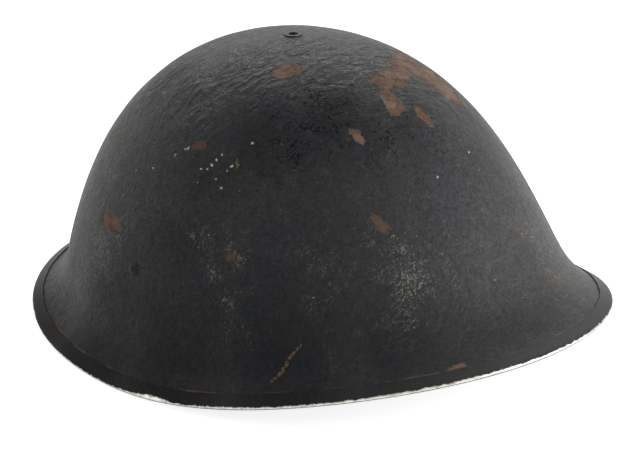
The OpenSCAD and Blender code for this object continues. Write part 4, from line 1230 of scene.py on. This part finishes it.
class HelmetStage(bpy.types.PropertyGroup):
    azimuth: FloatProperty(name="Camera azimuth", description="Round from the wearer's left towards the rear",
                           default=AZIMUTH, subtype="ANGLE")
    elevation: FloatProperty(name="Camera elevation", description="Above the floor", default=ELEVATION,
                             subtype="ANGLE")
    roll: FloatProperty(name="Camera roll", description="Tilt of the picture", default=ROLL, subtype="ANGLE")
    distance: FloatProperty(name="Camera distance", description="From the camera to what it looks at",
                            default=DISTANCE * MM, unit="LENGTH")
    lens: FloatProperty(name="Lens", description="Focal length in millimetres on a 36 mm wide sensor",
                        default=LENS)
    aim: FloatVectorProperty(name="Aim", description="The point that the camera looks at", subtype="XYZ",
                             default=[v * MM for v in AIM])
    top_light: FloatProperty(name="Top light", description="Power of the overhead softbox in watts",
                             default=3.5, min=0)
    back_light: FloatProperty(name="Back light", description="Power of the softbox behind in watts",
                              default=7.0, min=0)
    left_light: FloatProperty(name="Left light", description="Power of the left softbox in watts",
                              default=1.8, min=0)
    right_light: FloatProperty(name="Right light", description="Power of the right softbox in watts",
                               default=14.0, min=0)
    fill: FloatProperty(name="Fill", description="Grey level of the world as a light", default=0.25, min=0)


def look():
    return bpy.context.scene.helmet_paint


def liner():
    return bpy.context.scene.helmet_liner


# Pale, dark and rust colour, roughness and grain
PLAIN_STEEL = ((0.30, 0.29, 0.27), (0.14, 0.13, 0.12), (0.07, 0.04, 0.025), 0.42, (6, 0.4, 6))
LUG_STEEL = ((0.11, 0.105, 0.10), (0.045, 0.042, 0.04), (0.075, 0.04, 0.022), 0.5, (3, 3, 0.5))
OLD_BRASS = ((0.20, 0.13, 0.06), (0.06, 0.055, 0.03), 0.36, (0.5, 5, 5))
# Dark and pale colour, the size and relief of the pores in millimetres, and roughness
SPONGE = ((0.035, 0.033, 0.03), (0.10, 0.09, 0.075), 1.1, 0.3, 0.95)
GREY_RUBBER = ((0.05, 0.05, 0.048), (0.13, 0.125, 0.115), 0.6, 0.06, 0.8)
FINISHES = {
    "shell_paint": lambda: shell_paint(look()),
    "strip_paint": lambda: strip_paint(look()),
    "fitting_paint": lambda: fitting_paint(look()),
    "plain_steel": lambda: bare_metal("plain_steel", *PLAIN_STEEL),
    "lug_steel": lambda: bare_metal("lug_steel", *LUG_STEEL),
    "yellow_metal": lambda: bare_metal("yellow_metal", liner().brass, *OLD_BRASS),
    "webbing": lambda: webbing(liner()),
    "lace_cord": lambda: lace_cord(liner()),
    "brown_fibre": lambda: brown_fibre(liner()),
    "oilcloth": lambda: oilcloth(liner()),
    "sponge_rubber": lambda: rubber("sponge_rubber", *SPONGE),
    "grey_rubber": lambda: rubber("grey_rubber", *GREY_RUBBER),
}


def finish(slot):
    """The finish of that slot, made when a piece first asks for it."""
    return bpy.data.materials.get(WORN + slot) or FINISHES[slot]()


# One button for each piece or group of like pieces
class AddShell(bpy.types.Operator):
    """The pressed steel shell, in its worn black paint"""
    bl_idname = "helmet.shell"
    bl_label = "Steel shell"

    def execute(self, context):
        obj = shell_surface(context.scene.helmet_shell)
        mark_the_paint(obj)
        smooth(obj, 40)
        seat_piece(obj, "shell", "shell_paint", "shell")
        return {"FINISHED"}


class AddRimStrip(bpy.types.Operator):
    """The folded strip round the edge, rubbed bright along its fold"""
    bl_idname = "helmet.rim_strip"
    bl_label = "Rim strip"

    def execute(self, context):
        obj = strip_surface()
        mark_the_strip(obj)
        smooth(obj, 50)
        seat_piece(obj, "shell", "strip_paint", "rim_strip")
        return {"FINISHED"}


class AddCrownFitting(bpy.types.Operator):
    """The tubular bush in the crown, with the liner's screw and washer"""
    bl_idname = "helmet.crown_fitting"
    bl_label = "Crown fitting"

    def execute(self, context):
        seat_copy("crown_bush", "steel", "shell", "fitting_paint", 0.14)
        for node in ("liner_screw", "liner_washer"):
            seat_copy(node, "steel", "shell", "plain_steel", 0.15)
        return {"FINISHED"}


class AddRivets(bpy.types.Operator):
    """The domed rivet at each side"""
    bl_idname = "helmet.rivets"
    bl_label = "Side rivets"

    def execute(self, context):
        for side in ("left", "right"):
            seat_copy(side + "_rivet", "head", "shell", "fitting_paint", 0.12)
        return {"FINISHED"}


class AddLugs(bpy.types.Operator):
    """The folded lugs and the square wire loops that swing in them"""
    bl_idname = "helmet.lugs"
    bl_label = "Lugs and loops"

    def execute(self, context):
        for side in ("left", "right"):
            seat_copy(side + "_lug", "steel", side + "_lug", "lug_steel", 0.22)
            seat_copy(side + "_strap_loop", "wire", side + "_strap", "plain_steel", degrees=50)
        return {"FINISHED"}


class AddChinStrap(bpy.types.Operator):
    """The two halves of the webbing chin strap, folded round their wires and sewn"""
    bl_idname = "helmet.chin_strap"
    bl_label = "Chin strap"

    def execute(self, context):
        for side, folded in (("left", True), ("right", False)):
            turn = np.array([1 if side == "left" else -1, 1, 1])
            obj = webbing_half(side + "_strap_webbing", folded, side == "right")
            seat_piece(obj, side + "_strap", "webbing", side + "_strap")
            sewn = []
            for face in (-1, 1):
                out = LOOP_X * (RUN_X + WEB_T / 2) * face
                sewn += box_stitch(lambda y, z: LOOP_AT + LOOP_Y * y + LOOP_Z * z, out)
                if folded:
                    out = INWARD * (RUN_X + face * (RUN_X + WEB_T / 2))
                    sewn += box_stitch(lambda y, z: TIP_AT + TIP_DIR * z + UP * y, out)
            obj = stitches(side + "_strap_stitches", [(p * turn, w * turn) for p, w in sewn])
            seat_piece(obj, side + "_strap", "lace_cord")
        seat_copy("strap_buckle", "wire", "buckle", "yellow_metal", degrees=50)
        seat_copy("strap_tip", "brass", "right_strap", "yellow_metal", 0.25)
        return {"FINISHED"}


class AddHeadband(bpy.types.Operator):
    """The fibre headband with its sweatband"""
    bl_idname = "helmet.headband"
    bl_label = "Headband and sweatband"

    def execute(self, context):
        seat_copy("headband", "fibre", "shell", "brown_fibre", 0.3)
        band = sweatband_surface()
        seat_piece(band, "shell", "oilcloth", "sweatband")
        return {"FINISHED"}


class AddTongues(bpy.types.Operator):
    """The six oilcloth tongues and the lace that gathers them"""
    bl_idname = "helmet.tongues"
    bl_label = "Tongues and lace"

    def execute(self, context):
        for k in range(TONGUES):
            obj, hole_r = tongue_sheet(k)
            seat_piece(obj, "shell", "oilcloth", "tongues_cloth")
        path = lace_path(hole_r)
        side, thick = frames_along(path, np.tile(UP, (len(path), 1)), ring=True)
        lace = swept("lace_round", path, side, thick, round_section(LACE_D * 0.9), ring=True)
        smooth(lace, 180)
        seat_piece(lace, "shell", "lace_cord", "lace")
        return {"FINISHED"}


class AddCrownStraps(bpy.types.Operator):
    """The two fibre straps that cross under the crown, with the sponge pad below them"""
    bl_idname = "helmet.crown_straps"
    bl_label = "Crown straps and pad"

    def execute(self, context):
        for node in ("long_crown_strap", "cross_crown_strap"):
            seat_copy(node, "fibre", "shell", "brown_fibre", 0.3, degrees=40)
        pad = soft_block("crown_pad", "crown_pad_sponge", 1.5)
        seat_piece(pad, "shell", "sponge_rubber", "crown_pad")
        return {"FINISHED"}


class AddBuffers(bpy.types.Operator):
    """The hollow rubber buffers round the headband, and the liner's tubular rivets"""
    bl_idname = "helmet.buffers"
    bl_label = "Buffers and liner rivets"

    def execute(self, context):
        for node in ("front_buffers", "rear_buffers"):
            seat_copy(node, "rubber", "shell", "grey_rubber", 0.5, 3)
        for node in ("buffer_rivets", "crown_strap_rivets"):
            seat_copy(node, "brass", "shell", "yellow_metal", 0.12)
        return {"FINISHED"}


# The rays that show the floor and the world plainly, and not as a light
PLAIN_RAYS = ("Is Camera Ray", "Is Glossy Ray", "Is Transmission Ray")


def floor_white():
    """A pale floor that keeps the object's shadow and is white where the camera sees it plainly."""
    f = Finish("floor_white")
    pale = f.mix(f.noise(f.mm(), 0.5, 3), (0.80, 0.80, 0.80), (0.82, 0.82, 0.82))
    diffuse = f.get(0, "ShaderNodeBsdfDiffuse", Color=pale)
    glow = f.get(0, "ShaderNodeEmission", Color=(1, 1, 1, 1), Strength=0.8)
    both = f.get(0, "ShaderNodeAddShader", **{"0": diffuse, "1": glow})
    camera, glossy, clear = (f.get(ray, "ShaderNodeLightPath") for ray in PLAIN_RAYS)
    seen = f.math("MAXIMUM", f.math("MAXIMUM", camera, glossy), clear)
    shown = f.get(0, "ShaderNodeMixShader", **{"0": seen, "1": diffuse, "2": both})
    f.add("ShaderNodeOutputMaterial", Surface=shown)
    return f.material


def softbox(name, at, size, watts):
    """A plain white area lamp that faces the helmet."""
    aim = (0, 0, 0.06)
    bpy.ops.object.light_add(type="AREA", location=at)
    lamp = bpy.context.object
    lamp.name = name
    lamp.data.shape = "RECTANGLE"
    lamp.data.size, lamp.data.size_y, lamp.data.energy = size[0], size[1], watts
    lamp.rotation_euler = (Vector(aim) - Vector(at)).to_track_quat("-Z", "Y").to_euler()
    return lamp


class AddStage(bpy.types.Operator):
    """The floor, the camera at the photograph's angle and the soft lights"""
    bl_idname = "helmet.stage"
    bl_label = "Floor, camera and lights"

    def execute(self, context):
        s = context.scene.helmet_stage
        bpy.ops.mesh.primitive_plane_add(size=6)
        floor = bpy.context.object
        floor.name = floor.data.name = "floor"
        points = points_of(floor)
        points[:, 2] = -0.0003
        move_points(floor, points / MM)
        floor.data.materials.append(floor_white())

        axes = [Vector(axis) for axis in camera_axes(s.azimuth, s.elevation, s.roll)]
        bpy.ops.object.camera_add()
        camera = bpy.context.object
        camera.matrix_world = Matrix(axes).transposed().to_4x4()
        camera.location = Vector(s.aim) + axes[2] * s.distance
        camera.data.lens, camera.data.sensor_width = s.lens, SENSOR_W
        camera.data.clip_start, camera.data.clip_end = 0.05, 20.0
        context.scene.camera = camera

        flat, over = Vector((math.cos(s.azimuth), math.sin(s.azimuth), 0)), Vector(UP)
        right = over.cross(flat)
        top = softbox("top_softbox", over * 0.95 - flat * 0.35, (1.1, 0.8), s.top_light)
        top.visible_glossy = False
        back_lamp = softbox("back_softbox", over * 0.9 - flat * 0.95, (1.2, 0.5), s.back_light)
        back_lamp.visible_diffuse = False
        softbox("left_softbox", -right * 1.05 + over * 0.65 + flat * 0.2, (0.9, 0.7), s.left_light)
        softbox("right_softbox", right * 1.05 + over * 0.4 + flat * 0.35, (1.3, 0.8), s.right_light)

        world = bpy.data.worlds.new("studio")
        world.use_nodes = True
        nodes, links = world.node_tree.nodes, world.node_tree.links
        background = nodes["Background"]
        path = nodes.new("ShaderNodeLightPath").outputs
        strength = None
        for kind in PLAIN_RAYS:
            larger = nodes.new("ShaderNodeMath")
            larger.operation = "MAXIMUM"
            larger.inputs[1].default_value = s.fill
            links.new(path[kind], larger.inputs[0])
            if strength:
                links.new(strength, larger.inputs[1])
            strength = larger.outputs[0]
        links.new(strength, background.inputs["Strength"])
        background.inputs["Color"].default_value = (1, 1, 1, 1)
        context.scene.world = world
        context.scene.view_settings.view_transform = "Standard"
        return {"FINISHED"}


PIECES = (AddShell, AddRimStrip, AddCrownFitting, AddRivets, AddLugs, AddChinStrap, AddHeadband, AddTongues,
          AddCrownStraps, AddBuffers, AddStage)
GROUPS = {"helmet_paint": HelmetPaint, "helmet_shell": HelmetShell, "helmet_liner": HelmetLiner,
          "helmet_stage": HelmetStage}


class HelmetPanel(bpy.types.Panel):
    """The helmet's pieces and settings"""
    bl_idname = "VIEW3D_PT_helmet"
    bl_label = "Steel helmet"
    bl_space_type = "VIEW_3D"
    bl_region_type = "UI"
    bl_category = "Helmet"

    def draw(self, context):
        for key, group in GROUPS.items():
            box = self.layout.box()
            for prop in group.__annotations__:
                box.prop(getattr(context.scene, key), prop)
        for piece in PIECES:
            self.layout.operator(piece.bl_idname)


def register():
    for cls in (*GROUPS.values(), *PIECES, HelmetPanel):
        bpy.utils.register_class(cls)
    for key, group in GROUPS.items():
        setattr(bpy.types.Scene, key, PointerProperty(type=group))


def unregister():
    for key in GROUPS:
        delattr(bpy.types.Scene, key)
    for cls in (HelmetPanel, *reversed(PIECES), *reversed(list(GROUPS.values()))):
        bpy.utils.unregister_class(cls)


def main():
    register()
    for piece in PIECES:
        group, name = piece.bl_idname.split(".")
        getattr(getattr(bpy.ops, group), name)()


if __name__ == "__main__":
    main()
